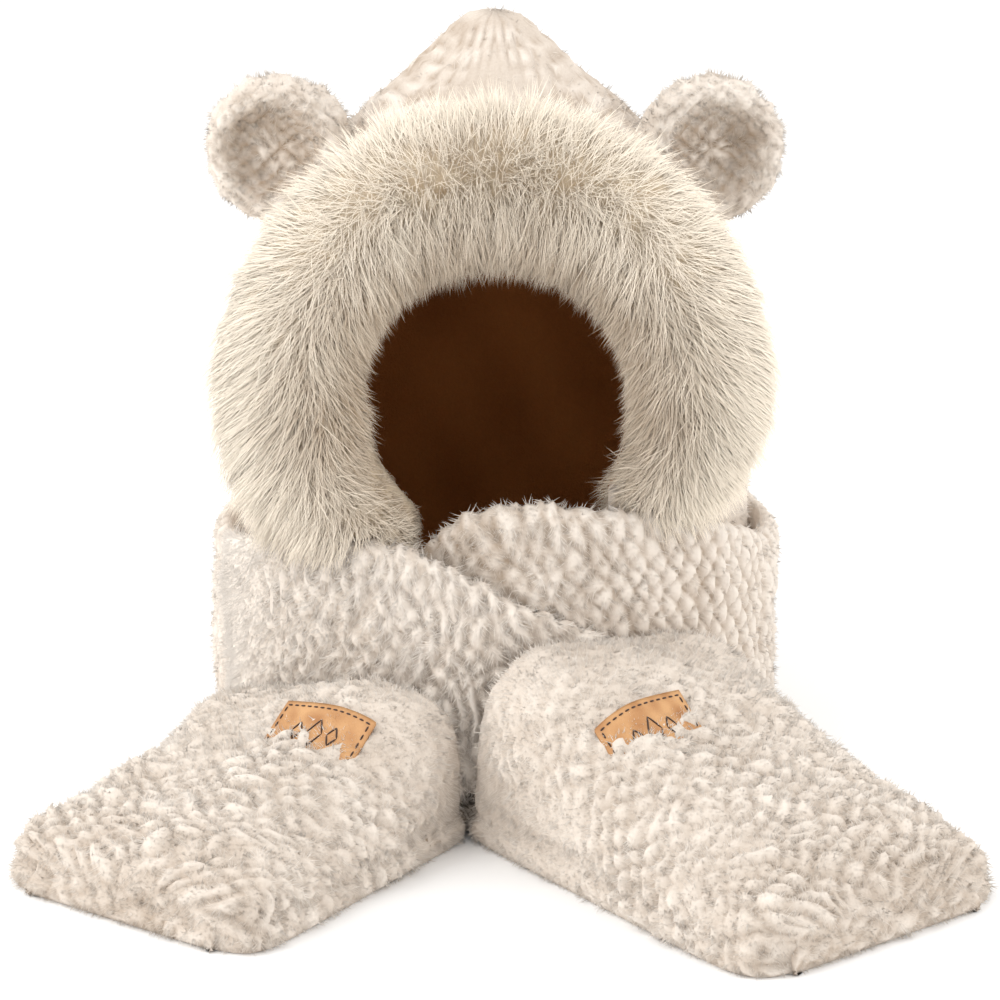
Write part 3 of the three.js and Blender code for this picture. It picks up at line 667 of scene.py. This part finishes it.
def make_lining():
    outside = -HOOD_WALL - CLEARANCE
    points, faces, _ = hood_wall(84, 64, outside, outside - LINING_THICKNESS)
    mesh = new_mesh("lining_cloth", points, faces, 0.5 + 0.3 * (shade_of(points, 60, 12) - 0.5))
    piece = new_piece("lining_cloth", mesh, lining_cloth, ["hood_lining"])


# The ears
def make_ear(name, side):
    rows, count = 46, 64
    outline = spline(np.column_stack([EAR_PROFILE, np.zeros(len(EAR_PROFILE))]), np.linspace(0, 1, rows))
    radius = np.maximum(outline[:, :1], 0.004) * EAR_RADIUS
    front = outline[:, 1:2] * EAR_THICKNESS / 2
    turn = 2 * math.pi * np.arange(count) / count
    flat = np.stack([radius * np.cos(turn), -front + 0 * turn, radius * np.sin(turn)], -1)
    normals = facing(grid_normals(flat, True), flat + [0, 1, 0])
    up = flat[..., 2] + 3 + 2.5 * waves(flat, 25, 47 + side)
    puff = bobbles(up, flat[..., 0] + 4, 9.5, 11.0, 6 + side, 0.55)
    relief = 3.0 * (puff - 0.5) + 0.8 * waves(flat, 14, 41 + side)
    edge = np.clip(radius / (0.2 * EAR_RADIUS), 0, 1)
    flat = flat + normals * (relief * edge)[..., None]
    cos, sin = math.cos(side * EAR_TURN), math.sin(side * EAR_TURN)
    turned = flat @ np.array([[cos, sin, 0], [-sin, cos, 0], [0, 0, 1]])
    placed = seated_on_hood((turned + [side * EAR_SPREAD, EAR_BACK, EAR_CENTRE_HEIGHT]).reshape(-1, 3))
    faces = outward(placed, tube_faces(rows, count))
    from_centre = np.hypot(flat[..., 0], flat[..., 2]) / EAR_RADIUS
    dish = rising(-from_centre, -0.78, 0.25) * (flat[..., 1] < 0)
    puff = puff * (0.5 + 0.5 * dish)
    # Painted shade: darker in the dished front and between the stitches, lighter on their puffs.
    tones = (0.84 - 0.5 * dish + 0.75 * (puff - 0.5) + 0.08 * waves(flat, 30, 45 + side)).ravel()
    new_padded(name, placed, faces, np.clip(tones, 0, 1))
    fuzz(name + "_pile", placed, faces, tones, 4200, PILE_LENGTH, PILE_WIDTH, 51 + side, drop=0.1)


def seated_on_hood(points):
    """Points, with those inside the hood brought out to just under its surface."""
    wide, deep, back = hood_section(rising(points[:, 2], HEM_HEIGHT, HOOD_HEIGHT), -EAR_SINK)
    reach = np.hypot(points[:, 0] / wide, (points[:, 1] - back) / deep)
    grow = np.where(reach < 1, 1 / np.maximum(reach, 0.2), 1)
    moved = points.copy()
    moved[:, 0] *= grow
    moved[:, 1] = back + (points[:, 1] - back) * grow
    return moved


# The fur trim
def under_band(turn):
    """How far a place of the trim is towards its right end, which tucks in behind the scarf."""
    return np.clip((turn - BAND_TURN) / (TRIM_END - BAND_TURN), 0, 1.2)


def trim_frame(turn):
    rise = TRIM_HALF_HEIGHT * np.cos(turn)
    tuck = TRIM_TUCK * np.minimum(np.cos(turn), 0) ** 2 + RIGHT_TUCK * under_band(turn)
    centre = np.stack([TRIM_HALF_WIDTH * np.sin(turn), TRIM_LEAN * rise - TRIM_FORWARD + tuck,
                       FACE_CENTRE_HEIGHT + rise], -1)
    outward_way = unit(np.stack([np.sin(turn), TRIM_LEAN * np.cos(turn), np.cos(turn)], -1))
    forward = unit(np.array([0, -1, TRIM_LEAN]))
    middle = np.clip((2 * turn - TRIM_START - TRIM_END) / (TRIM_END - TRIM_START), -1, 1)
    past_end = np.maximum(np.maximum(TRIM_START - turn, turn - TRIM_END), 0) / END_ROUND
    fullness = (1 - END_TAPER * np.abs(middle) ** 6) * np.sqrt(np.maximum(1 - past_end**2, 1e-4))
    return centre, outward_way, forward, fullness * (1 - 0.22 * under_band(turn))


def trim_point(turn, around, reach):
    centre, out, forward, fullness = trim_frame(turn)
    return (centre + out * (fullness * reach * np.cos(around))[..., None]
            + forward * (fullness * reach * np.sin(around))[..., None])


def make_trim_ground():
    """The knitted backing that the long hair grows from: a roll with round ends."""
    rows, count = 120, 32
    ends = END_ROUND * np.sin(np.linspace(0, math.pi / 2, 7))[1:]
    turn = np.concatenate([TRIM_START - ends[::-1], np.linspace(TRIM_START, TRIM_END, rows), TRIM_END + ends])
    around = 2 * math.pi * np.arange(count) / count
    turns, arounds = np.meshgrid(turn, around, indexing="ij")
    points = trim_point(turns, arounds, BACKING_RADIUS - 1.0).reshape(-1, 3)
    faces = outward(points, tube_faces(len(turn), count))
    new_padded("fur_trim", points, faces, shade_of(points, 9, 77), "trim_ground", fur_ground)


def trim_hair_places():
    """Random places on the roll: along it, round its front, and further round near its ends."""
    past = 0.9 * END_ROUND
    turn = RANDOM.uniform(TRIM_START - past, TRIM_END + past, HAIR_COUNT)
    near_end = rising(np.abs(turn), BAND_TURN, math.radians(45))
    return turn, np.radians(RANDOM.uniform(-60, 205 + 40 * near_end)), near_end


def make_trim_hair(name, seed):
    """Long hair on the roll: upright along a parting on its front, combed outward on one side of the parting
    and over the opening on the other."""
    turn, around, near_end = trim_hair_places()
    roots = trim_point(turn, around, BACKING_RADIUS - 2.0)
    normals = unit(roots - trim_frame(np.clip(turn, TRIM_START, TRIM_END))[0])
    ahead, behind = (trim_point(turn, around + step, BACKING_RADIUS) for step in (0.02, -0.02))
    over = unit(ahead - behind)
    along = unit(np.stack([np.cos(turn), -TRIM_LEAN * np.sin(turn), -np.sin(turn)], -1))

    # How far each hair belongs to a zone, from 0 to 1
    steep = np.abs(np.sin(turn))
    top = np.exp(-(turn / 0.6) ** 2)
    hanging = np.maximum(np.cos(turn), 0) ** 2
    tucked = under_band(turn)
    parting = np.radians(80 + 35 * steep**2) + 0.10 * waves(turn[:, None] * 100, 90, 5)
    comb = (around - parting) / 0.8
    upright = np.exp(-comb**2) * (0.3 + 0.7 * top)
    outer = np.clip(1 - around / math.radians(60), 0, 1)
    inner = rising(around, parting, math.radians(45))
    fringe = rising(around, math.radians(130), math.radians(40)) * (1 - 0.6 * near_end)
    deep = rising(around, np.radians(85 - 12 * steep), math.radians(50))
    locks = np.column_stack([turn * 120, around * 20])

    # Directions, and how each hair bends on its way
    side = np.tanh(comb + RANDOM.normal(size=HAIR_COUNT) * 0.45) * (1 - 0.5 * fringe)
    sway = 0.13 * waves(locks, 34, 1) + 0.12 * waves(locks, 11, 2)
    lift = 0.34 + 0.75 * upright - 0.14 * inner + 0.25 * outer * steep + 0.4 * fringe
    lift += 0.12 * waves(locks, 16, 3)
    loose = 0.10 + 0.17 * upright + 0.12 * fringe
    ways = over * side[:, None] + normals * lift[:, None] + along * sway[:, None]
    ways += RANDOM.normal(size=(HAIR_COUNT, 3)) * loose[:, None]
    ways[:, 2] -= 0.12 + 0.6 * steep
    droop = 0.26 + 0.24 * inner - 0.2 * upright - 0.3 * fringe
    curl = over * (0.12 * side)[:, None] - normals * droop[:, None] - np.array([0, 0, 0.10])

    # Lengths
    lengths = HAIR_LENGTH + 6 * outer * steep - (17 - 14 * hanging) * inner - 9 * upright
    lengths *= (0.6 + 0.4 * trim_frame(turn)[3]) * RANDOM.uniform(0.6, 1.16, HAIR_COUNT)
    lengths *= (1 + 0.10 * waves(locks, 18, 4)) * (1 - 0.1 * tucked * (1 - inner)) * (1 - 0.25 * fringe)
    lengths += 15 * tucked * inner
    lengths *= 1 - 0.3 * rising(-turn, math.radians(110), math.radians(30))

    # Tones: painted shade, darker at the parting's top and towards the opening, where shade falls
    uneven = 0.035 + 0.07 * upright + 0.09 * fringe
    shades = 0.85 + 0.035 * waves(locks, 13, seed) + RANDOM.normal(size=HAIR_COUNT) * uneven
    shades -= 0.2 * top * upright + (0.42 + 0.13 * steep) * deep
    mesh = long_hairs(name, roots, ways, normals, lengths, curl, np.clip(shades, 0, 1))
    new_piece(name, mesh, long_hair)


# The scarf strip
def collar_point(turn_degrees, out, height):
    turn = np.radians(turn_degrees)
    reach = (0.5 + out) * SCARF_THICKNESS + (1 + out) * CLEARANCE + COLLAR_EASE
    return np.stack([(HOOD_HALF_WIDTH + reach) * np.sin(turn), -(HOOD_HALF_DEPTH + reach) * np.cos(turn),
                     height + 0 * turn], -1)


def strip_lines(low, high, fold, across):
    """Lines across the strip, each a soft curve from its low to its high edge."""
    foot = np.column_stack([high[:, :2], low[:, 2]])
    middle = (low + high) / 2
    middle = middle + (foot - middle) * fold[:, None]
    t = across[None, :, None]
    return low[:, None] * (1 - t) ** 2 + 2 * middle[:, None] * t * (1 - t) + high[:, None] * t**2


def edge_padding(across):
    """How full the padding is across the strip, with soft rolled edges."""
    return (1 - np.abs(2 * across - 1) ** 9) ** (1 / 4) * 0.75 + 0.25


def paw_point(paw, along, across, height):
    """A point of a paw's frame: along it, across it from its middle, and up."""
    side, splay = paw["side"], paw["splay"]
    front = HOOD_HALF_DEPTH + CROTCH_FORWARD + SCARF_THICKNESS
    off = paw["width"] / 2 + across
    x = paw["shift"] + along * math.sin(splay) + off * side * math.cos(splay)
    y = -front - along * math.cos(splay) + off * side * math.sin(splay)
    return np.stack(np.broadcast_arrays(x, y, height), -1)


def make_strip(name, middle_grid, thickness, side, relief, tones, below, rag):
    """A length of the scarf: closed rings round its middle, with a few columns below. Rag is how far its
    edges go in and out. Gives its points, the quads that show and its tones."""
    rows, columns = middle_grid.shape[:2]
    share = np.linspace(0, 1, columns)
    width = np.linalg.norm(middle_grid[:, -1] - middle_grid[:, 0], axis=-1)[:, None]
    run = run_of(middle_grid)
    tuft = np.abs(np.sin(math.pi * (run / 10.5 + 0.25 * waves(run[:, None], 60, 15)))) ** 0.7
    tuft = (tuft * (0.6 + 0.8 * per_cell(run / 10.5, 0 * run, 16)) - 0.4)[:, None]
    near_high = np.exp(-(1 - share) * width / 9)
    near_low = np.exp(-share * width / 9)
    across = unit(np.gradient(middle_grid, axis=1))
    middle_grid = middle_grid + across * (rag * tuft * (near_high - near_low))[..., None]
    along = np.gradient(middle_grid, axis=0)
    normals = unit(np.cross(along, across)) * side
    half = SCARF_THICKNESS / 2 * edge_padding(share)[None, :] * thickness[:, None]
    fade = np.clip(np.minimum(share, 1 - share) / 0.05, 0.5, 1)[None, :]
    upper = middle_grid + normals * (half + relief * fade)[..., None]
    few = np.linspace(0, columns - 1, below).round().astype(int)[::-1]
    lower = (middle_grid - normals * half[..., None])[:, few]
    rings = np.concatenate([upper, lower], 1)
    rings[..., 2] = np.maximum(rings[..., 2], 0.15)
    count = rings.shape[1]
    points = rings.reshape(-1, 3)
    faces = outward(points, tube_faces(rows, count))
    quads = faces[:(rows - 1) * count].reshape(rows - 1, count, 4)
    tones = np.concatenate([tones, np.full((rows, below), 0.62)], 1).ravel()
    tones = np.clip(tones + 0.06 * waves(points, 55, 12), 0, 1)
    new_padded(name, points, faces, tones)
    return points, np.vstack([quads[:, :columns].reshape(-1, 4), quads[:, -1]]), tones


def distances(points):
    """How far along its line each point lies."""
    steps = np.linalg.norm(np.diff(points, axis=-2), axis=-1)
    return np.concatenate([np.zeros_like(steps[..., :1]), np.cumsum(steps, -1)], -1)


def run_of(grid):
    """How far along the strip each row lies, measured on its middle line."""
    return distances(grid[:, grid.shape[1] // 2])


def scarf_end_grid(rows, paw, neck_steps, paw_steps, columns):
    """Points on the middle of a scarf end, along it and across it, and how thick each row is as a share."""
    across = np.linspace(0, 1, columns)
    on_neck, on_paw = np.linspace(0, 1, neck_steps), np.linspace(0, 1, paw_steps)[1:]
    half = smooth_table(PAW_ROWS, 1, on_paw) * paw["width"] / 2
    floor = SCARF_THICKNESS / 2
    neck_edges, paw_edges = [], []
    for first, side in ((0, -1), (3, 1)):
        turn, out, share = rows[:, first:first + 3].T
        mouth = paw_point(paw, 0.0, side * PAW_ROWS[0, 1] * paw["width"] / 2, floor)
        neck = np.vstack([collar_point(turn, out, share * COLLAR_HEIGHT), mouth])
        neck_edges.append(spline(neck, on_neck))
        paw_edges.append(paw_point(paw, on_paw * paw["length"], side * half, floor))
    fold = np.append(rows[:, 6], 1.0)
    fold = np.interp(on_neck * (len(fold) - 1), np.arange(len(fold)), fold)
    thickness = np.concatenate([np.ones(neck_steps), smooth_table(PAW_ROWS, 2, on_paw)])
    lines = [strip_lines(*neck_edges, fold, across), strip_lines(*paw_edges, 0 * on_paw, across)]
    return np.concatenate(lines), thickness


def seam_blend(run):
    """From 0 at a length's end to 1 where it has come out of the overlap at a side seam."""
    return np.sin(np.clip(run / SEAM_OVERLAP, 0, 1) * math.pi / 2)


def make_scarf_end(name, rows, paw, pattern_of, steps, columns, hairs, length, drop, seed):
    """One end of the scarf and its pile. pattern_of gives its tones, its relief and how thick the pile is."""
    neck_steps, paw_steps = steps
    grid, thickness = scarf_end_grid(rows, paw, neck_steps, paw_steps, columns)
    run = run_of(grid)[:, None]
    span = np.linalg.norm(grid[:, -1] - grid[:, 0], axis=-1)[:, None] * np.linspace(0, 1, columns)
    tones, relief, cover = pattern_of(grid, run, span)
    hidden = (np.arange(len(grid)) > neck_steps + 2)[:, None]
    blend = seam_blend(run)
    relief = np.where(hidden, 0, relief) * blend - SEAM_SINK * (1 - blend)
    thickness = thickness * (0.5 + 0.5 * blend[:, 0])
    points, seen, tones = make_strip(name, grid, thickness, paw["side"], relief, tones, 12, 4.0)
    cover = np.where(hidden, 0, np.concatenate([cover, np.full((len(grid), 12), 1.5)], 1))
    weight = cover.ravel()[seen[:, 0]]
    fuzz(name + "_pile", points, seen, tones, hairs, length, THICK_PILE_WIDTH, seed, drop, 0.3, weight)


def lattice_pattern(grid, run, span):
    """Chunky knit: leaf-shaped stitches near the side seam that melt into fluff towards the front."""
    fluff = rising(run, 70, 90)
    run = run + (1.0 + 2.5 * fluff) * waves(grid, 45, 61)
    span = span + (1.0 + 2.5 * fluff) * waves(grid, 45, 62)
    row = np.floor(span / 9.5)
    slant = np.where(row % 2 == 0, 1, -1) * (span / 9.5 - row - 0.5) * 3.0
    puff = bobbles(run + slant, span, 11.5, 19.0, 8, 0.45)
    relief = 4.6 * (puff - 0.5) * (1 - 0.4 * fluff) + 1.0 * waves(grid, 60, 63) + 0.3 * waves(grid, 8, 64)
    # Painted shade: darker between the stitches, and darker still far along towards the front, under the
    # throat.
    tones = 0.12 + 0.92 * puff - 0.2 * fluff * (puff - 0.4) - 0.22 * fluff * rising(run, 150, 60)
    return tones, relief, np.clip(fluff, 0.10, 1) + 0 * puff


def clump_pattern(grid, run, span):
    """Fluffy clumps, longer across the strip than along it, and smoother towards the side seam."""
    rough = np.clip((run - 35) / 60, 0.08, 1)
    run = run + 3.5 * waves(grid, 32, 65)
    span = span + 7.0 * waves(grid, 42, 66)
    puff = bobbles(run, span, 11.0, 26.0, 9, 0.8)
    relief = rough * (4.6 * (puff - 0.45) + 0.4 * waves(grid, 9, 68)) + 1.4 * waves(grid, 55, 67)
    # Painted light and shade: brighter where the strip is smooth near the side seam, darker between the
    # clumps further on.
    return 1.0 - 0.28 * rough + 0.45 * rough * (puff - 0.5), relief, np.ones_like(puff)


def make_neck():
    steps, columns = 140, 44
    turns = np.linspace(NECK_ROWS[0, 0] - 0.8, NECK_ROWS[-1, 0] + 0.8, steps)
    low = collar_point(turns, 0.0, 0.0)
    high = collar_point(turns, 0.0, smooth_table(NECK_ROWS, 1, turns) * COLLAR_HEIGHT)
    grid = strip_lines(low, high, np.zeros(steps), np.linspace(0, 1, columns))
    run = run_of(grid)[:, None]
    span = (high[:, 2] - low[:, 2])[:, None] * np.linspace(0, 1, columns)
    tones, relief, _ = lattice_pattern(grid, SEAM_OVERLAP - run, span)
    smooth = np.clip((run[-1] - run) / 40, 0.15, 1)
    blend = np.minimum(seam_blend(run), seam_blend(run[-1] - run))
    relief = relief * smooth * blend - SEAM_SINK * (1 - blend)
    thickness, tones = 0.5 + 0.5 * blend[:, 0], 0.72 + (tones - 0.72) * smooth
    points, seen, tones = make_strip("scarf_neck", grid, thickness, 1, relief, tones, 8, 3.0)
    fuzz("scarf_neck_pile", points, seen, tones, 7000, 4.5, THICK_PILE_WIDTH, 71)


# The hand pockets and their labels
def dome_height(paw, at, across, inset):
    share = (1 - np.minimum(np.abs(across), 1) ** DOME_POWER) ** (1 / DOME_POWER)
    tilt = 1 + paw["tilt"] * (1 - at) * (TILT_PIVOT - (1 + across) / 2)
    crest = paw["crest"] * smooth_table(PAW_ROWS, paw["column"], at) * tilt - inset
    return POCKET_RIM + np.maximum(crest - POCKET_RIM, inset / 4) * share


def pocket_grid(paw, inset, rows, columns, mouth, skirt):
    """Points of a pocket's dome from side to side over its top, and from mouth to tip. Below its rim it goes
    on down to the ground, and skirt is how far it bulges out there."""
    down = np.linspace(0, 1, SKIRT_STEPS + 1)[1:]
    at = np.concatenate([np.linspace(0, 1, rows), [1.0, 1.0], np.ones(SKIRT_STEPS)])
    rise = np.concatenate([np.ones(rows), [0.5, 0.02], np.zeros(SKIRT_STEPS)])
    drop = np.concatenate([np.zeros(rows + 2), down])
    across = np.sin(np.linspace(-math.pi / 2, math.pi / 2, 400))
    sections = []
    for share, up, low in zip(at, rise, drop):
        half = smooth_table(PAW_ROWS, 1, share) * paw["width"] / 2 - inset
        rim = POCKET_RIM + (GROUND_GAP - POCKET_RIM) * low
        height = rim + (dome_height(paw, share, across, inset) - POCKET_RIM) * up
        length = np.concatenate([[0], np.cumsum(np.hypot(np.diff(across * half), np.diff(height)))])
        even = np.linspace(0, length[-1], columns)
        bulge = skirt * np.sin(math.pi * (0.15 + 0.7 * low)) if low > 0 else 0.0
        along = -mouth if share == 0 else share * (paw["length"] - inset) + bulge
        edge = half + skirt * np.sin(math.pi * (0.15 + 0.7 * down))
        foot = rim + (GROUND_GAP - rim) * down
        side = np.concatenate([-edge[::-1], np.interp(even, length, across * half), edge])
        level = np.concatenate([foot[::-1], np.interp(even, length, height), foot])
        sections.append(paw_point(paw, along, side, level))
    return np.array(sections)


def make_pocket(name, paw, hairs, seed):
    """A settled, clumped pocket. Gives its points before the settling and how far each has moved."""
    rows, columns = 76, 84
    plain = pocket_grid(paw, 0, rows, columns, 0, 4.0)
    inner = pocket_grid(paw, POCKET_WALL, rows, columns, POCKET_WALL * 0.4, POCKET_WALL + 1.0)
    outer, inner = settled_wall(plain, inner)
    moved = outer - plain
    normals = grid_normals(outer, False)
    normals *= np.sign(np.mean(normals[..., 2]))
    run = run_of(outer)[:, None]
    span = distances(outer)
    span = span - span[:, -1:] / 2
    side = span / np.maximum(span[:, -1:], 1)
    share = run / run[-1]
    smooth = np.clip(0.3 + 0.9 * share + 0.3 * waves(outer, 90, seed + 6), 0.2, 1)
    run = run + 18 * side**2 + 4.0 * waves(outer, 34, seed)
    span = span + 5.0 * waves(outer, 30, seed + 1)
    puff = bobbles(run, span, 14.0, 21.0, seed, 0.75)
    relief = smooth * 6.0 * (puff - 0.45) + 1.6 * waves(outer, 60, seed + 2) + 0.4 * waves(outer, 9, seed + 3)
    # Painted shade: darker between the clumps, and darker towards the tip, whose front lies in shade.
    tones = 0.62 + 0.42 * smooth * (puff - 0.5) + 0.05 * waves(outer, 55, 12)
    tones = np.clip(tones - 0.18 * rising(share, 0.65, 0.35), 0, 1)
    edge = rising(outer[..., 2], 1, 4)
    edge[0] *= 0.3
    edge[rows - 1:] *= 0.4
    edge[rows - 1:, :SKIRT_STEPS + 1] = 0
    edge[rows - 1:, -SKIRT_STEPS - 1:] = 0
    outer = outer + normals * (relief * edge)[..., None]
    outer[..., 2] = np.maximum(outer[..., 2], GROUND_GAP)
    points, faces, outer_count = shell(outer, inner)
    tones = np.concatenate([tones.ravel(), np.full(tones.size, 0.4)])
    new_padded(name, points, faces, tones)
    fuzz(name + "_pile", points, faces[:outer_count], tones, hairs, 5.0, PILE_WIDTH, seed + 4, swirl=0.25)
    return plain.reshape(-1, 3), moved.reshape(-1, 3)


def label_stitches():
    """Ends of the stitches round a label and in its row of diamonds, as shares of its length and width."""
    stitches = []
    for edge in (-0.42, 0.42):
        for middle in np.linspace(-0.44, 0.44, 13):
            stitches.append(((middle - 0.024, edge), (middle + 0.024, edge)))
    for edge in (-0.46, 0.46):
        for middle in np.linspace(-0.34, 0.34, 6):
            stitches.append(((edge, middle - 0.045), (edge, middle + 0.045)))
    for centre, size in ((-0.2, 0.5), (0.0, 0.75), (0.2, 0.5)):
        wide, tall = 0.11 * size, 0.3 * size
        corners = [(centre - wide, 0), (centre, tall), (centre + wide, 0), (centre, -tall)]
        stitches += list(zip(corners, corners[1:] + corners[:1]))
    return stitches


def make_label(name, paw, pocket):
    """A small leather tab that follows its pocket, with dark stitches and a plain diamond motif."""
    plain, moved = pocket
    along_share, across_share = paw["label"]
    long_steps, short_steps = 40, 20
    u, v = np.meshgrid(np.linspace(-0.5, 0.5, long_steps), np.linspace(-0.5, 0.5, short_steps))

    def on_top(u, v, rise):
        along = along_share * paw["length"] + LABEL_WIDTH * v
        across = across_share * paw["width"] / 2 + LABEL_LENGTH * u
        height = dome_height(paw, along / paw["length"], across / (paw["width"] / 2), 0)
        sink = LABEL_BACK_RISE + (LABEL_FRONT_RISE - LABEL_BACK_RISE) * (v + 0.5)
        place = paw_point(paw, along, across, height + sink + rise)
        apart = np.linalg.norm(place.reshape(-1, 1, 3) - plain[None], axis=-1)
        near = 1 / (1 + apart**2) ** 2
        return place + ((near @ moved) / near.sum(1)[:, None]).reshape(place.shape)

    top = on_top(u, v, 0)
    rings = np.concatenate([top, on_top(u, v, -LABEL_THICKNESS)[:, ::-1]], 1)
    count = rings.shape[1]
    points = rings.reshape(-1, 3)
    faces = outward(points, tube_faces(short_steps, count))
    mesh = new_mesh(name + "_leather", points, faces, shade_of(points, 12, 11))
    tab = new_piece(name + "_leather", mesh, leather, [name])

    points, faces = [], []
    for start, end in label_stitches():
        t = np.linspace(0, 1, 6)
        line = on_top(start[0] + (end[0] - start[0]) * t, start[1] + (end[1] - start[1]) * t, 0.1)
        way = unit(line[-1] - line[0])
        sideways = unit(np.cross(way, [0, 0, 1]))
        up = np.cross(sideways, way)
        radius = THREAD_RADIUS * np.sqrt(np.clip(1 - (2 * t - 1) ** 4, 0.1, 1))
        angles = np.arange(6) * math.pi / 3
        ring = (sideways * np.cos(angles)[:, None] + up * np.sin(angles)[:, None])
        tube = line[:, None] + ring[None] * radius[:, None, None]
        first = len(points) * 36
        points.append(tube.reshape(-1, 3))
        faces.append(outward(points[-1], tube_faces(6, 6)) + first)
    points = np.vstack(points)
    mesh = new_mesh(name + "_stitching", points, np.vstack(faces), np.full(len(points), 0.5))
    stitching = new_piece(name + "_stitching", mesh, thread)


# The stage: floor, lights and camera
def make_stage():
    floor = bpy.data.meshes.new("floor")
    corners = [(x * FLOOR_REACH, y * FLOOR_REACH, 0) for x, y in ((-1, -1), (1, -1), (1, 1), (-1, 1))]
    floor.from_pydata(corners, [], [(0, 1, 2, 3)])
    ground = new_object("floor", floor)
    paint = bpy.data.materials.new("floor_paint")
    paint.use_nodes = True
    with_inputs(paint.node_tree.nodes["Principled BSDF"], {"Base Color": FLOOR_COLOUR, "Roughness": 0.9})
    floor.materials.append(paint)

    world = bpy.data.worlds.new("soft_sky")
    bpy.context.scene.world = world
    world.use_nodes = True
    with_inputs(world.node_tree.nodes["Background"], {"Color": SKY_COLOUR})
    bpy.context.scene.view_settings.view_transform = "Standard"

    for name, place, size, power in LIGHTS:
        light = bpy.data.lights.new(name, "AREA")
        light.size, light.energy = size, power
        lamp = new_object(name, light)
        lamp.location = place
        lamp.rotation_euler = (Vector(LIGHT_TARGET) - Vector(place)).to_track_quat("-Z", "Y").to_euler()


def make_camera():
    camera = bpy.data.cameras.new("camera")
    camera.lens = CAMERA_LENS
    camera.clip_start, camera.clip_end = 0.1, 50
    viewer = new_object("camera", camera)
    viewer.location = Vector([value * MM for value in CAMERA_PLACE]) + Vector(AXIS)
    viewer.rotation_euler = (math.pi / 2 - CAMERA_DOWN, 0, 0)
    bpy.context.scene.camera = viewer


make_stage()
make_camera()
make_hood()
make_lining()
make_ear("ear_left", -1)
make_ear("ear_right", 1)
make_trim_ground()
make_trim_hair("trim_hair_under", 81)
make_trim_hair("trim_hair_over", 91)
make_neck()
make_scarf_end("scarf_under", UNDER_ROWS, PAWS["left"], lattice_pattern, steps=(150, 24), columns=76,
               hairs=11000, length=6.0, drop=0.3, seed=101)
make_scarf_end("scarf_over", OVER_ROWS, PAWS["right"], clump_pattern, steps=(130, 24), columns=64,
               hairs=18000, length=7.0, drop=0.7, seed=111)
pocket_left = make_pocket("pocket_left", PAWS["left"], hairs=16000, seed=121)
pocket_right = make_pocket("pocket_right", PAWS["right"], hairs=18500, seed=131)
make_label("label_left", PAWS["left"], pocket_left)
make_label("label_right", PAWS["right"], pocket_right)
